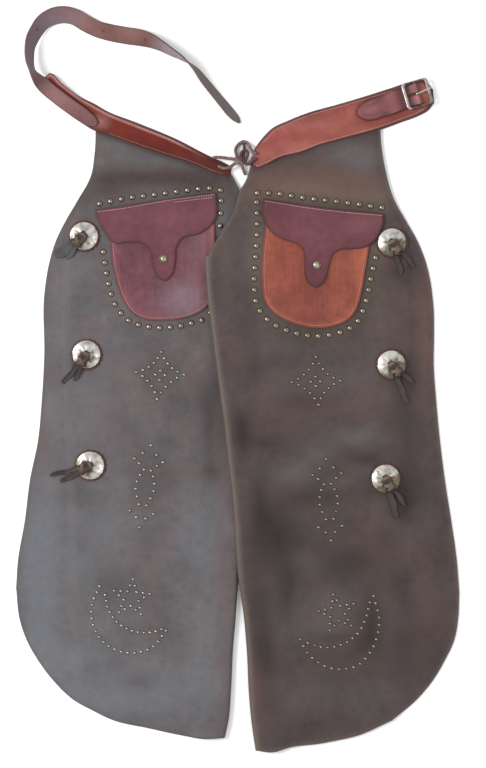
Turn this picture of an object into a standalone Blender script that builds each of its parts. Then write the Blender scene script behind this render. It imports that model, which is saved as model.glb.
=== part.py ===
"""Batwing riding chaps in oiled leather, lying flat with the front up and the waist towards +Y.

Each leg is one piece of leather: a front with a wide wing, turned round at the inner edge into a
back flap that lies under the front as far as its seam with the conchos. The right-hand leg lies
over the left one where they cross. A two-layer belt holds the top edge of each leg, a strap and
a buckle end them, and a lace ties their front ends. Two flap pockets, their rows of studs, and
conchos on leather rosettes with tied thongs lie on the fronts.

Sizes and places are in millimetres, and become metres where a mesh is made.
"""

from collections import namedtuple
from math import atan2, cos, degrees, hypot, pi, radians, sin

import bmesh
import bpy
import numpy as np
from mathutils import Matrix, Vector
from mathutils.bvhtree import BVHTree

MM = 0.001

# ---------------------------------------------------------------- driving dimensions, in mm

LEG_LEATHER = 2.6
BELT_LEATHER = 2.4
STRAP_LEATHER = 2.6
POCKET_LEATHER = 2.0
ROSETTE_LEATHER = 2.0
CHAPE_LEATHER = 1.8
LAYER_GAP = 0.4  # air between leathers that lie on each other

LOOP_RADIUS = 4.6  # of the turned inner edge, at the middle of the leather
LOOP_SETTLE = 70  # width over which the front comes down from that turn onto the flap
LOOP_START = 75  # length of cut edge over which it rises towards the turn
WING_SETTLE = 32  # width over which the wing comes down from the flap to the ground
WING_FADE = (300, 210)  # heights on the page between which that drop begins and is full

STUD_RADIUS, STUD_HEIGHT = 4.75, 3.2
NAIL_RADIUS, NAIL_HEIGHT = 2.9, 2.0
STUD_ROOT = 1.0  # how deep a stud goes into the leather

CONCHO_RADIUS, CONCHO_HEIGHT, CONCHO_METAL = 22.2, 5.0, 1.3
ROSETTE_RADIUS, ROSETTE_SCALLOPS, SCALLOP_DEPTH = 25.6, 18, 1.3
THONG_LEATHER = 2.0
SNAP_RADIUS, SNAP_HEIGHT = 6.4, 3.0

BUCKLE_PLACE = (286.0, 455.0)  # centre of the bar that the belt's end is folded round
BUCKLE_TURN = 16.3  # degrees from +X to the belt's run
BUCKLE_LENGTH, BUCKLE_WIDTH = 43.0, 43.0
BUCKLE_BAR, BUCKLE_ARM, BUCKLE_METAL = 4.6, 3.2, 3.2
BUCKLE_BOW = 2.4  # how far the end bars stand above the middle bar
BAR_RADIUS = 1.5
PRONG_METAL, PRONG_WIDTH, PRONG_LEAN = 1.3, 3.0, 0.12
CHAPE_HALF = 16.5  # half the width of the leather inside the buckle
CHAPE_TOP = (  # distance from the bar, and the two edges of the leather on top of the belt
    (-101, -5, 1), (-97, -13, 7), (-88, -19, 13.5), (-74, -20.5, 15.5), (-62, -20, 16),
    (-53, -19.5, 17), (-46, -19, 18), (-38, -18.5, 18), (-31, -17.8, 17.8), (-25, -17, 17),
    (-12, -16.5, 16.5),
)
CHAPE_LIES = -28  # where the leather begins to lie on the belt
RIDGE_ROOM = 0.7  # more height where it crosses the belt's ridge
CHAPE_RETURN = -31  # where it ends under itself
SLOT_START, SLOT_END, SLOT_WIDTH = -15, 6, 4.8

LACE_RADIUS = 2.3

FLAP_Z = LEG_LEATHER / 2
FRONT_Z = FLAP_Z + LEG_LEATHER + LAYER_GAP
LOOP_REACH = LOOP_RADIUS + LEG_LEATHER / 2
LEG_TOP = FRONT_Z + LEG_LEATHER / 2

# ---------------------------------------------------------------- outlines of the legs
# Every line runs from the waist down, or from the inner edge out, as (x, y). "cut" is the inner
# edge from the belt to the crotch, "fold" the outermost line of the turned edge below it.

Leg = namedtuple("Leg", "side top cut fold seam outer hem hem_wing flap_top flap_edge flap_hem")

LEFT = Leg(
    side=-1,
    top=[(-13, 331), (-34, 338), (-75, 357), (-122, 378), (-163, 391), (-213, 408), (-227, 413)],
    cut=[(-13, 331), (-6, 320), (3, 300), (13, 266), (28, 238), (46, 208), (53, 195)],
    fold=[(59, 195), (54, 126), (46, 46), (37, -34), (26, -114), (16, -194), (8, -258), (1, -315),
          (-4, -386), (-8, -434), (-11, -498), (-15, -545), (-21, -573)],
    seam=[(-213, 408), (-214, 380), (-219, 335), (-231, 298), (-249, 262), (-264, 222),
          (-266, 126), (-266, 40), (-260, -138), (-253, -354), (-246, -523)],
    outer=[(-227, 413), (-229, 363), (-235, 325), (-256, 286), (-275, 254), (-291, 222),
           (-301, 190), (-310, 134), (-310, 38), (-314, -34), (-320, -98), (-333, -162),
           (-341, -226), (-352, -290), (-355, -334)],
    hem=[(-27, -573), (-53, -575), (-88, -570), (-144, -558), (-198, -546), (-246, -523)],
    hem_wing=[(-246, -523), (-262, -514), (-296, -482), (-320, -450), (-338, -418), (-349, -386),
              (-355, -334)],
    flap_top=[(53, 195), (-60, 214), (-180, 232), (-254, 238)],
    flap_edge=[(-254, 238), (-260, 126), (-261, 40), (-255, -138), (-248, -354), (-240, -515)],
    flap_hem=[(-27, -573), (-88, -561), (-144, -549), (-198, -535), (-240, -515)],
)
RIGHT = Leg(
    side=1,
    top=[(22, 355), (69, 373), (130, 390), (187, 405), (213, 411), (227, 414)],
    cut=[(22, 355), (19, 338), (13, 318), (3, 300), (-7, 266), (-23, 238), (-41, 208), (-47, 195)],
    fold=[(-53, 195), (-50, 142), (-40, 62), (-30, -16), (-22, -74), (-16, -130), (-10, -178),
          (-6, -226), (0, -314), (9, -378), (14, -434), (17, -498), (21.5, -549), (28, -593.5)],
    seam=[(213, 411), (214, 380), (220, 335), (231, 298), (248, 262), (263, 222), (266, 126),
          (266, 24), (258, -158), (251, -354), (246, -546)],
    outer=[(227, 414), (229, 376), (235, 338), (250, 286), (268, 254), (286.5, 222), (299.5, 190),
           (312.5, 118), (313.5, 62), (313, 27), (317, -34), (323, -98), (331, -162), (341, -226),
           (350, -290), (354, -341)],
    hem=[(34, -593.5), (52, -596), (86, -588), (130, -583), (152, -579), (190, -570.5),
         (246, -546)],
    hem_wing=[(246, -546), (285, -514), (312, -482), (331, -450), (346, -418), (352, -386),
              (354, -341)],
    flap_top=[(-47, 195), (60, 214), (180, 232), (254, 238)],
    flap_edge=[(254, 238), (260, 126), (261, 24), (253, -158), (246, -354), (240, -537)],
    flap_hem=[(34, -593.5), (86, -581), (147, -570), (190, -560), (240, -537)],
)
CUT_ROWS, FOLD_ROWS, LOOP_STEPS = 5, 15, 6
MAIN_COLUMNS = (0, .04, .08, .125, .17, .215, .26, .31, .37, .44, .53, .64, .76, .88, 1)
WING_COLUMNS = (0, .35, .68, 1)
FLAP_COLUMNS = (0, .045, .09, .14, .19, .24, .29, .34, .41, .52, .7, 1)

# Height by which the right-hand leg rides over the left-hand one: at the left leg's turned edge,
# and well inside it, where it crosses two plain layers or the pocket.
RIDE_TABLE = (  # y, over the turned edge, inside it
    (322, 0, 0),
    (301, 4.6, 4.2),
    (250, 9.8, 7.5),
    (195, 13.4, 10.4),
    (70, 13.4, 10.4),
    (-10, 13.4, 7.0),
    (-285, 13.4, 13.4),
    (-330, 7, 7),
    (-400, 0.8, 0.8),
    (-440, 0, 0),
)
RIDE_CREST, RIDE_INSIDE, RIDE_OUTSIDE = 22, 60, 95
ROOM, ROOM_START, ROOM_FROM, ROOM_LENGTH = 0.9, 60, 105, 80  # the riding front clears its flap

# ---------------------------------------------------------------- belts, strap and lace

Belt = namedtuple("Belt", "leg_corner lower ridge upper lining_upper lining_lower")

BELT_LEFT = Belt(
    leg_corner=-229,
    lower=[(-314, 461.5), (-303, 448.5), (-276, 427), (-252, 410.5), (-230, 397.5), (-215, 392.5),
           (-163, 374), (-122, 360), (-75, 345), (-34, 328), (-14, 323)],
    ridge=[(-311, 475), (-290, 462), (-263, 441), (-240, 425), (-222, 416), (-205, 410),
           (-163, 396), (-122, 382), (-75, 361), (-34, 342), (-15, 334)],
    upper=[(-309, 481), (-302, 487), (-279, 470), (-252, 450), (-230, 437.5), (-213, 428),
           (-163, 407), (-106, 384), (-48, 355), (-26, 345), (-15, 338)],
    lining_upper=[(-309, 481), (-302, 488), (-279, 470.5), (-252, 451), (-229, 440), (-214, 431),
                  (-160, 409.5), (-102, 385.5), (-42, 355), (-24, 347), (-10, 339)],
    lining_lower=[(-314, 461.5), (-303, 448.5), (-276, 427), (-252, 410.5), (-230, 397.5),
                  (-215, 392.5),
                  (-163, 374), (-122, 360), (-75, 345), (-34, 328), (-12, 322)],
)
BELT_RIGHT = Belt(
    leg_corner=228,
    lower=[(24, 342), (30, 338), (45, 343), (67, 354), (99, 362), (128, 373), (171, 385),
           (226, 400.5), (262, 413.5), (289, 424), (302, 432), (310, 444)],
    ridge=[(24, 358), (32, 363), (50, 371), (74, 380), (102, 388), (132, 395), (174, 407),
           (218, 417), (254, 428), (287, 440), (300, 445), (311, 450)],
    upper=[(25, 362), (31, 371), (43, 385), (57, 399), (80, 410.5), (112, 423.5), (160, 437),
           (202, 449.5), (243, 462), (282, 474), (295, 475), (308, 462)],
    lining_upper=[(24, 363), (29, 372), (41, 388), (55, 401.5), (79, 413), (112, 426), (160, 439.5),
                  (202, 452), (243, 465), (284, 477), (298, 478), (312, 463)],
    lining_lower=[(23, 341), (30, 336), (46, 341), (67, 352), (99, 361), (128, 372), (171, 384),
                  (227, 398.5), (262, 411), (290, 421.5), (304, 429.5), (314, 442)],
)
BELT_ROWS = 18
BELT_SLOPE = 0.25  # how fast the belt's face comes down past the leg's top edge
BELT_SETTLE = 22  # and past its outer corner

BELT_RISE, RISE_START, RISE_LENGTH = 5.0, 232, 55  # the strap lifts the left belt's end

STRAP_TABLE = (  # x, y, height of the lower edge, roll in degrees, width
    (-226, 405, 9.0, 0, 6),
    (-232, 410, 9.0, 0, 16),
    (-242, 416.5, 8.8, 0, 21),
    (-251.5, 424, 8.6, 0, 22),
    (-263.5, 432, 9.4, 0, 22.5),
    (-276.5, 441, 10.6, 0, 23),
    (-289.5, 451, 11.0, 0, 23),
    (-302.5, 461.5, 11.0, -4, 23),
    (-311.5, 470, 11.0, -22, 23.5),
    (-320, 480, 10.6, -54, 24.5),
    (-327, 491, 9.6, -73, 25),
    (-330.5, 502.5, 8.4, -71, 27),
    (-331.5, 515, 7.2, -67, 27.5),
    (-331, 527, 6.2, -65, 27.5),
    (-327.5, 541, 5.0, -56, 27.5),
    (-320.5, 555, 3.6, -51, 27.5),
    (-309.5, 570, 2.0, -42, 27.5),
    (-296, 578.5, 0.8, -32, 27.5),
    (-280, 582.5, 0, -14, 27),
    (-260, 578.5, 0, -10, 26.5),
    (-244, 569, 0, -12, 26.5),
    (-226, 560, 0, -8, 26),
    (-203, 554, 0, 0, 27),
    (-178, 549, 0, -10, 27),
    (-158, 545.5, 0, -25, 27),
    (-141.5, 540.5, 0, -44, 27),
    (-125, 532.5, 0, -62, 27),
    (-105.5, 521, 0, -75, 27),
    (-89, 511.5, 0, -87, 27),
    (-78.5, 504, 0, -97, 27),
    (-68.5, 495, 0, -107, 26),
    (-54.5, 477, 0, -118, 25),
    (-39, 458, 0, -124, 22.5),
    (-24, 440, 0, -131, 20),
    (-11, 424.5, 0, -138, 18),
    (-2, 415, 0, -141, 12.5),
    (3, 409.5, 0, -141, 3.5),
)

LACES = (  # each strand's route: x, y, height of its middle
    ((-32, 340, 11.2), (-26, 337, 11.4), (-19, 336, 11.4), (-12, 338.5, 11.2), (-6, 343, 9),
     (-1, 347, 7), (-2, 357, 7), (-4, 366, 5), (2, 376, 3.2), (10, 380, 3), (17, 375, 5.5),
     (20, 368, 10), (25, 361, 11.6), (31, 360, 11.2)),
    ((-41, 353, 11.2), (-36, 353.5, 11.4), (-28, 353.5, 11), (-16, 352, 9.5), (-5, 350.5, 9),
     (3, 348, 9), (7, 339, 6), (10, 331, 4), (12, 326, 3.4)),
    ((30, 351, 11.2), (25, 350, 11.4), (20, 345, 9.5), (12, 344, 6.5), (9, 350, 5), (9, 360, 5),
     (10, 369, 5.5), (10, 377, 6)),
)
LACE_KNOT = (-0.5, 348.5, 8.2)
LACE_KNOT_SIZE = (5.5, 6.5, 4.6)

# ---------------------------------------------------------------- pockets, studs and conchos

Pocket = namedtuple("Pocket", "body body_top flap flap_top snap")

POCKETS = {
    "left": Pocket(
        body=[(-213, 264), (-205, 224), (-202, 190), (-194, 154), (-182, 122), (-168, 104),
              (-149, 95), (-120, 93), (-91, 96), (-68, 103), (-51, 114), (-40, 132), (-36, 160),
              (-36, 225), (-40, 291)],
        body_top=[(-40, 291), (-213, 264)],
        flap=[(-36, 298), (-34, 277), (-35, 259), (-43, 245), (-62, 232), (-89, 224), (-98, 211),
              (-100, 189), (-105, 167), (-116, 157), (-127, 161), (-134, 173), (-138, 195),
              (-144, 210), (-156, 217), (-176, 218), (-197, 217), (-208, 227), (-218, 243),
              (-225, 257), (-227, 270)],
        flap_top=[(-227, 270), (-130, 285), (-36, 298)],
        snap=(-119, 192),
    ),
    "right": Pocket(
        body=[(45, 282), (43, 242), (39, 206), (38, 152), (42, 125), (54, 107), (73, 94),
              (98, 85), (126, 81), (152, 84), (175, 94), (188, 109), (196, 132), (203, 172),
              (209, 208), (214, 261)],
        body_top=[(214, 261), (45, 282)],
        flap=[(231, 264), (232, 254), (226, 234), (216, 219), (202, 210), (180, 207), (163, 206),
              (152, 200), (146, 184), (141, 164), (133, 151), (122, 146), (113, 151), (107, 164),
              (105, 184), (104, 202), (96, 212), (77, 220), (60, 227), (48, 239), (41, 253),
              (38, 267), (40, 287)],
        flap_top=[(40, 287), (135, 273.5), (231, 264)],
        snap=(124, 182),
    ),
}
STUD_LINES = {  # studs in a line, and the line they follow
    "left": (
        (12, [(-221, 280), (-184, 288), (-130, 295), (-78, 302), (-45, 305), (-28, 302)]),
        (10, [(-27, 285), (-28, 250), (-29, 200), (-30, 160), (-34, 134), (-44, 106)]),
        (15, [(-58, 94), (-91, 85), (-140, 83), (-172, 92), (-195, 117), (-206, 150),
              (-215, 203)]),
    ),
    "right": (
        (12, [(31, 297), (65, 296), (103, 290), (157, 284), (194, 279), (230, 274)]),
        (27, [(30, 282), (31, 238), (28, 190), (26, 145), (31, 116), (50, 92), (82, 76),
              (116, 69), (154, 72), (188, 88), (204, 122), (212, 159), (220, 194)]),
    ),
}
DIAMONDS = {  # the four points of each star-sided diamond, and its centre
    "left": ([(-122, 43), (-86, 7), (-129, -32), (-162, 11)], (-124, 6)),
    "right": ([(125, 35), (164, -3), (129, -41), (86, -5)], (124, -4)),
}
SPRAYS = {  # the head and foot of each upright spray
    "left": ((-139, -106), (-157, -237)),
    "right": ((141, -128), (149, -258)),
}
SPRAY_PAIRS = (  # distance from the head, half the distance between a pair
    (14, 11), (24, 23), (31, 14.5), (40, 5.6), (49, 10.5), (60, 14), (72, 14.5), (84, 11),
    (96, 6), (108, 19), (117, 7.5),
)
STARS = {"left": ((-170, -350), 85), "right": ((159, -374), 102)}  # centre, angle of one point
STAR_REACH, STAR_WAIST = 30, 12.5
CRESCENTS = {  # studs on the outer and inner line, and the lines
    "left": (
        (21, [(-221, -331), (-233, -362), (-232, -390), (-214, -421), (-170, -438),
              (-136, -428), (-115, -402)]),
        (14, [(-212, -345), (-206, -370), (-190, -391), (-163, -404), (-134, -404),
              (-122, -400)]),
    ),
    "right": (
        (21, [(217, -347), (226, -384), (217, -427), (189, -459), (149, -462), (112, -438),
              (100, -416)]),
        (14, [(211, -357), (206, -378), (193, -405), (167, -424), (138, -429), (112, -422)]),
    ),
}
CONCHOS = (  # name, leg, place, then direction in degrees, length and width of each thong end
    ("left_top", "left", (-246, 228), (-145, 56, 11), (-128, 46, 6)),
    ("left_middle", "left", (-242, 39), (-130, 60, 7), (-115, 46, 6)),
    ("left_bottom", "left", (-236, -138), (-166, 66, 6), (-151, 54, 7)),
    ("right_top", "right", (246, 218), (-73, 54, 6), (-47, 54, 6)),
    ("right_middle", "right", (245, 23), (-68, 65, 7), (-40, 46, 6)),
    ("right_bottom", "right", (236, -159), (-74, 64, 8), (-54, 53, 6)),
)
THONG_PROFILE = (  # distance from the middle of the concho, height above the leg's leather
    (-6, 9.6), (6, 9.6), (13, 8.2), (19, 6.4), (24, 4.8), (29, 3.5), (35, 1.8),
)
KNOT_SIZE, KNOT_RISE = (9.5, 6.5, 3.2), 11.5


# ---------------------------------------------------------------- lines and surfaces

def ease(t):
    t = min(max(t, 0.0), 1.0)
    return t * t * (3 - 2 * t)


def smooth(points, where):
    """Points of a smooth line through some points, at fractions of its length."""
    p = np.array(points, float)
    t = np.concatenate([[0], np.cumsum(np.linalg.norm(np.diff(p, axis=0), axis=1))])
    slope = np.gradient(p, t, axis=0)
    fine = np.linspace(0, t[-1], 40 * len(p))
    k = np.clip(np.searchsorted(t, fine, side="right") - 1, 0, len(t) - 2)
    h = (t[k + 1] - t[k])[:, None]
    s = ((fine - t[k]) / (t[k + 1] - t[k]))[:, None]
    curve = ((1 + 2 * s) * (1 - s) ** 2 * p[k] + s * (1 - s) ** 2 * h * slope[k]
             + s * s * (3 - 2 * s) * p[k + 1] + s * s * (s - 1) * h * slope[k + 1])
    run = np.concatenate([[0], np.cumsum(np.linalg.norm(np.diff(curve, axis=0), axis=1))])
    at = np.array(where) * run[-1]
    return np.stack([np.interp(at, run, curve[:, i]) for i in range(p.shape[1])], axis=1)


def evenly(points, count):
    return smooth(points, np.linspace(0, 1, count))


def outline(*runs):
    """A closed outline from smooth runs that meet at corners: (count, points) for each run."""
    return np.concatenate([evenly(points, count)[:-1] for count, points in runs])


def patch(top, bottom, start, end, columns, late=1):
    """A grid of points, rows by columns, that fills four lines which meet at their ends.

    late above 1 keeps the bottom line's bend out of the rows that are far from it."""
    u = np.array(columns)[None, :, None]
    v = (np.linspace(0, 1, len(start)) ** late)[:, None, None]
    rim = (1 - v) * top[None] + v * bottom[None] + (1 - u) * start[:, None] + u * end[:, None]
    corners = ((1 - v) * ((1 - u) * top[0] + u * top[-1])
               + v * ((1 - u) * bottom[0] + u * bottom[-1]))
    return rim - corners


def past_left_edge(x, y):
    """Distance from the left-hand leg's inner edge, across the page."""
    left_edge = sorted((p[1], p[0]) for p in LEFT.cut[:-1] + LEFT.fold)
    return x - np.interp(y, *zip(*left_edge))


def ride(x, y):
    """Height of the right-hand leg's underside above the ground."""
    heights, over, inside = zip(*reversed(RIDE_TABLE))
    past = past_left_edge(x, y)
    crest, low = np.interp(y, heights, over), np.interp(y, heights, inside)
    if past > 0:
        return crest * (1 - ease(past / RIDE_OUTSIDE))
    return crest + (low - crest) * ease((-past - RIDE_CREST) / RIDE_INSIDE)


# ---------------------------------------------------------------- meshes and objects

def linear(hex_colour):
    values = [int(hex_colour[i:i + 2], 16) / 255 for i in (1, 3, 5)]
    return [v / 12.92 if v <= 0.04045 else ((v + 0.055) / 1.055) ** 2.4 for v in values] + [1]


def finish(obj, colour, roughness, metallic=0.0):
    material = bpy.data.materials.new(obj.name)
    material.use_nodes = True
    shader = material.node_tree.nodes["Principled BSDF"]
    shader.inputs["Base Color"].default_value = linear(colour)
    shader.inputs["Roughness"].default_value = roughness
    shader.inputs["Metallic"].default_value = metallic
    obj.data.materials.append(material)
    return obj


def add_object(name, mesh_or_curve):
    obj = bpy.data.objects.new(name, mesh_or_curve)
    bpy.context.collection.objects.link(obj)
    return obj


def mesh_object(name, bm):
    """An object from a bmesh in millimetres."""
    bmesh.ops.scale(bm, vec=(MM, MM, MM), verts=bm.verts)
    mesh = bpy.data.meshes.new(name)
    bm.to_mesh(mesh)
    bm.free()
    return add_object(name, mesh)


def add_grid(bm, points, first_column=None):
    """Faces over a grid of points, seen from above with its rows running down the page."""
    rows = []
    for r, row in enumerate(points):
        verts = [bm.verts.new(p) for p in row[1 if first_column else 0:]]
        rows.append(([first_column[r]] if first_column else []) + verts)
    for upper, lower in zip(rows, rows[1:]):
        for a, b, c, d in zip(upper, lower, lower[1:], upper[1:]):
            bm.faces.new((a, b, c))
            bm.faces.new((a, c, d))
    return rows


def thicken(obj, thickness):
    """Turn a sheet into a wall, half of it on each side of the sheet."""
    wall = obj.modifiers.new("wall", "SOLIDIFY")
    wall.thickness = thickness * MM
    wall.offset = 0
    wall.use_even_offset = True
    return obj


def sheet(name, points, thickness):
    bm = bmesh.new()
    add_grid(bm, points)
    bmesh.ops.recalc_face_normals(bm, faces=bm.faces)
    return thicken(mesh_object(name, bm), thickness)


def combine(obj, operation, other):
    """Join or trim an object by a hidden guide."""
    other.hide_render = True
    other.display_type = "WIRE"
    cut = obj.modifiers.new(operation.lower(), "BOOLEAN")
    cut.operation = operation
    cut.solver = "EXACT"
    cut.object = other
    return obj


def prism(name, points, low=-5, high=60):
    bm = bmesh.new()
    base = bm.faces.new([bm.verts.new((x, y, low)) for x, y in points])
    tops = bmesh.ops.extrude_face_region(bm, geom=[base])["geom"]
    bmesh.ops.translate(bm, vec=(0, 0, high - low),
                        verts=[v for v in tops if isinstance(v, bmesh.types.BMVert)])
    bmesh.ops.recalc_face_normals(bm, faces=bm.faces)
    return mesh_object(name, bm)


def turned(name, profile, segments):
    """A closed round solid: its profile of (radius, height) starts and ends on the axis."""
    bm = bmesh.new()
    verts = [bm.verts.new((r, 0, z)) for r, z in profile]
    for a, b in zip(verts, verts[1:]):
        bm.edges.new((a, b))
    bmesh.ops.spin(bm, geom=bm.verts[:] + bm.edges[:], cent=(0, 0, 0), axis=(0, 0, 1),
                   angle=2 * pi, steps=segments, use_merge=True)
    bmesh.ops.remove_doubles(bm, verts=bm.verts, dist=0.01)
    bmesh.ops.recalc_face_normals(bm, faces=bm.faces)
    obj = mesh_object(name, bm)
    obj.data.shade_smooth()
    obj.data.set_sharp_from_angle(angle=radians(35))
    return obj


# ---------------------------------------------------------------- the legs

def leg_grids(leg):
    """The front, wing and back flap of a leg as grids of points at the middle of the leather."""
    cut = evenly(leg.cut, CUT_ROWS + 1)
    turn = evenly([(x + leg.side * LOOP_REACH, y) for x, y in leg.fold], FOLD_ROWS + 1)
    inner = np.concatenate([cut[:-1], turn])
    run = np.concatenate([[0], np.cumsum(np.linalg.norm(np.diff(inner, axis=0), axis=1))])
    rows = run / run[-1]
    seam, outer = smooth(leg.seam, rows), smooth(leg.outer, rows)
    top = smooth(leg.top[:-1], MAIN_COLUMNS)
    hem = smooth(leg.hem, MAIN_COLUMNS)
    hem[0] = inner[-1]
    main = patch(top, hem, inner, seam, MAIN_COLUMNS)
    wing = patch(smooth(leg.top[-2:], WING_COLUMNS), smooth(leg.hem_wing, WING_COLUMNS), seam,
                 outer, WING_COLUMNS, late=3)
    edge = evenly(leg.flap_edge, FOLD_ROWS + 1)
    flap_hem = smooth(leg.flap_hem, FLAP_COLUMNS)
    flap_hem[0] = inner[-1]
    flap = patch(smooth(leg.flap_top, FLAP_COLUMNS), flap_hem, turn, edge, FLAP_COLUMNS)
    to_turn = run[CUT_ROWS] - run
    return main, wing, flap, to_turn


def leg_lift(leg, x, y):
    return ride(x, y) if leg.side > 0 else 0.0


def front_room(leg, from_edge, x, y):
    """How much further the riding leg's front stands above its flap."""
    if leg.side < 0:
        return 0.0
    fade = 1 - ease((past_left_edge(x, y) - ROOM_FROM) / ROOM_LENGTH)
    return ROOM * ease(from_edge / ROOM_START) * fade


def front_heights(leg, main, wing, to_turn):
    """The front's points with their heights, the main part and the wing in one grid."""
    rows = []
    for inner_row, wing_row, distance in zip(main, wing, to_turn):
        row = []
        near_turn = 1 - ease(distance / LOOP_START)
        for x, y in inner_row:
            from_edge = hypot(x - inner_row[0][0], y - inner_row[0][1])
            rise = (1 - ease(from_edge / LOOP_SETTLE)) * near_turn
            crown = (2 * LOOP_RADIUS + FLAP_Z - FRONT_Z) * rise
            room = near_turn * front_room(leg, from_edge, x, y)
            row.append((x, y, FRONT_Z + crown + room + leg_lift(leg, x, y)))
        for x, y in wing_row[1:]:
            past_seam = hypot(x - wing_row[0][0], y - wing_row[0][1])
            below_top = ease((WING_FADE[0] - y) / (WING_FADE[0] - WING_FADE[1]))
            drop = (FRONT_Z - FLAP_Z) * ease(past_seam / WING_SETTLE) * below_top
            row.append((x, y, FRONT_Z - drop + leg_lift(leg, x, y)))
        rows.append(row)
    return rows


def make_leg(name, leg, colour):
    main, wing, flap, to_turn = leg_grids(leg)
    front = front_heights(leg, main, wing, to_turn)
    bm = bmesh.new()
    rows = add_grid(bm, front)
    ring = [row[0] for row in rows[CUT_ROWS:]]
    for step in range(1, LOOP_STEPS + 1):
        angle = pi * step / LOOP_STEPS
        column = []
        for x, y in flap[:, 0]:
            place = (x - leg.side * LOOP_RADIUS * sin(angle), y,
                     FLAP_Z + LOOP_RADIUS * (1 + cos(angle)) + leg_lift(leg, x, y))
            column.append(bm.verts.new(place))
        for a, b, c, d in zip(ring, column, column[1:], ring[1:]):
            bm.faces.new((a, b, c))
            bm.faces.new((a, c, d))
        ring = column
    under = [[(x, y, FLAP_Z + leg_lift(leg, x, y)) for x, y in row] for row in flap]
    add_grid(bm, under, first_column=ring)
    bmesh.ops.recalc_face_normals(bm, faces=bm.faces)
    obj = thicken(mesh_object(name, bm), LEG_LEATHER)
    return finish(obj, colour, 0.62), front


def surface_tree(front):
    """The front's middle surface, for finding heights on it."""
    bm = bmesh.new()
    add_grid(bm, front)
    bmesh.ops.triangulate(bm, faces=bm.faces)
    tree = BVHTree.FromBMesh(bm)
    bm.free()
    return tree


def on_leather(tree, x, y):
    """The point on the top of the leg's leather above (x, y), and the slope's normal there."""
    hit, normal, _, _ = tree.ray_cast(Vector((x, y, 100)), Vector((0, 0, -1)))
    if normal.z < 0:
        normal = -normal
    return hit + normal * (LEG_LEATHER / 2), normal


# ---------------------------------------------------------------- studs

def between(a, b, pull, centre, count):
    """Points from a up to b on a line that bows towards a centre."""
    a, b, centre = Vector(a), Vector(b), Vector(centre)
    middle = (a + b) / 2
    control = middle + (centre - middle) * 2 * pull
    for i in range(count):
        t = i / count
        yield a * (1 - t) ** 2 + control * 2 * t * (1 - t) + b * t * t


def nail_places(side):
    """Where the small nails of the four ornaments on one leg go."""
    tips, centre = DIAMONDS[side]
    for a, b in zip(tips, tips[1:] + tips[:1]):
        yield from between(a, b, 0.22, centre, 5)
    for tip in tips:
        yield Vector(centre) + (Vector(tip) - Vector(centre)) * 0.2
    head, foot = (Vector(p) for p in SPRAYS[side])
    along = (foot - head).normalized()
    across = Vector((-along.y, along.x))
    yield from (head, foot)
    for down, half in SPRAY_PAIRS:
        yield head + along * down + across * half
        yield head + along * down - across * half
    centre, turn = STARS[side]
    corners = [Vector(centre) + Matrix.Rotation(radians(turn + 36 * i), 2) @ Vector((reach, 0))
               for i, reach in enumerate((STAR_REACH, STAR_WAIST) * 5)]
    for a, b in zip(corners, corners[1:] + corners[:1]):
        yield from (a, (a + b) / 2)
    for count, line in CRESCENTS[side]:
        yield from (Vector(p) for p in evenly(line, count))


def add_stud(bm, tree, x, y, rings, sides):
    """One stud: rings of (radius, height) above the leather, up to a point in its middle."""
    place, normal = on_leather(tree, x, y)
    frame = Matrix.Translation(place) @ normal.to_track_quat("Z", "Y").to_matrix().to_4x4()
    loops = []
    for radius, height in rings[:-1]:
        loops.append([bm.verts.new(frame @ Vector((radius * cos(2 * pi * k / sides),
                                                   radius * sin(2 * pi * k / sides), height)))
                      for k in range(sides)])
    tip = bm.verts.new(frame @ Vector((0, 0, rings[-1][1])))
    bm.faces.new(reversed(loops[0]))
    for low, high in zip(loops, loops[1:]):
        for k in range(sides):
            bm.faces.new((low[k], low[k - sides + 1], high[k - sides + 1], high[k]))
    for k in range(sides):
        bm.faces.new((loops[-1][k], loops[-1][k - sides + 1], tip))


def make_studs(side, tree):
    """All studs and nails of one leg, as a guide that is joined to its leather."""
    bm = bmesh.new()
    stud = ((STUD_RADIUS, -STUD_ROOT), (STUD_RADIUS * 0.94, STUD_HEIGHT * 0.45), (0, STUD_HEIGHT))
    nail_root = NAIL_RADIUS * (1 + STUD_ROOT / NAIL_HEIGHT)
    nail = ((nail_root, -STUD_ROOT), (0, NAIL_HEIGHT))
    for count, line in STUD_LINES[side]:
        for x, y in evenly(line, count):
            add_stud(bm, tree, x, y, stud, 6)
    for place in nail_places(side):
        add_stud(bm, tree, place.x, place.y, nail, 5)
    bmesh.ops.recalc_face_normals(bm, faces=bm.faces)
    return mesh_object("guide_studs_" + side, bm)


# ---------------------------------------------------------------- pockets

def leather_on(name, front, height, thickness, outline_points):
    """A piece that follows the leg's own points, moved out, and is cut to its outline."""
    low = np.min(outline_points, axis=0) - 60
    high = np.max(outline_points, axis=0) + 60
    middle = LEG_LEATHER / 2 + height + thickness / 2
    grid = np.array(front)
    inside = ((grid[..., :2] > low) & (grid[..., :2] < high)).all(axis=2)
    r, c = inside.any(axis=1).nonzero()[0], inside.any(axis=0).nonzero()[0]
    region = grid[r[0]:r[-1] + 1, c[0]:c[-1] + 1] + (0, 0, middle)
    piece = sheet(name, region, thickness)
    return combine(piece, "INTERSECT", prism("guide_" + name, outline_points))


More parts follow.
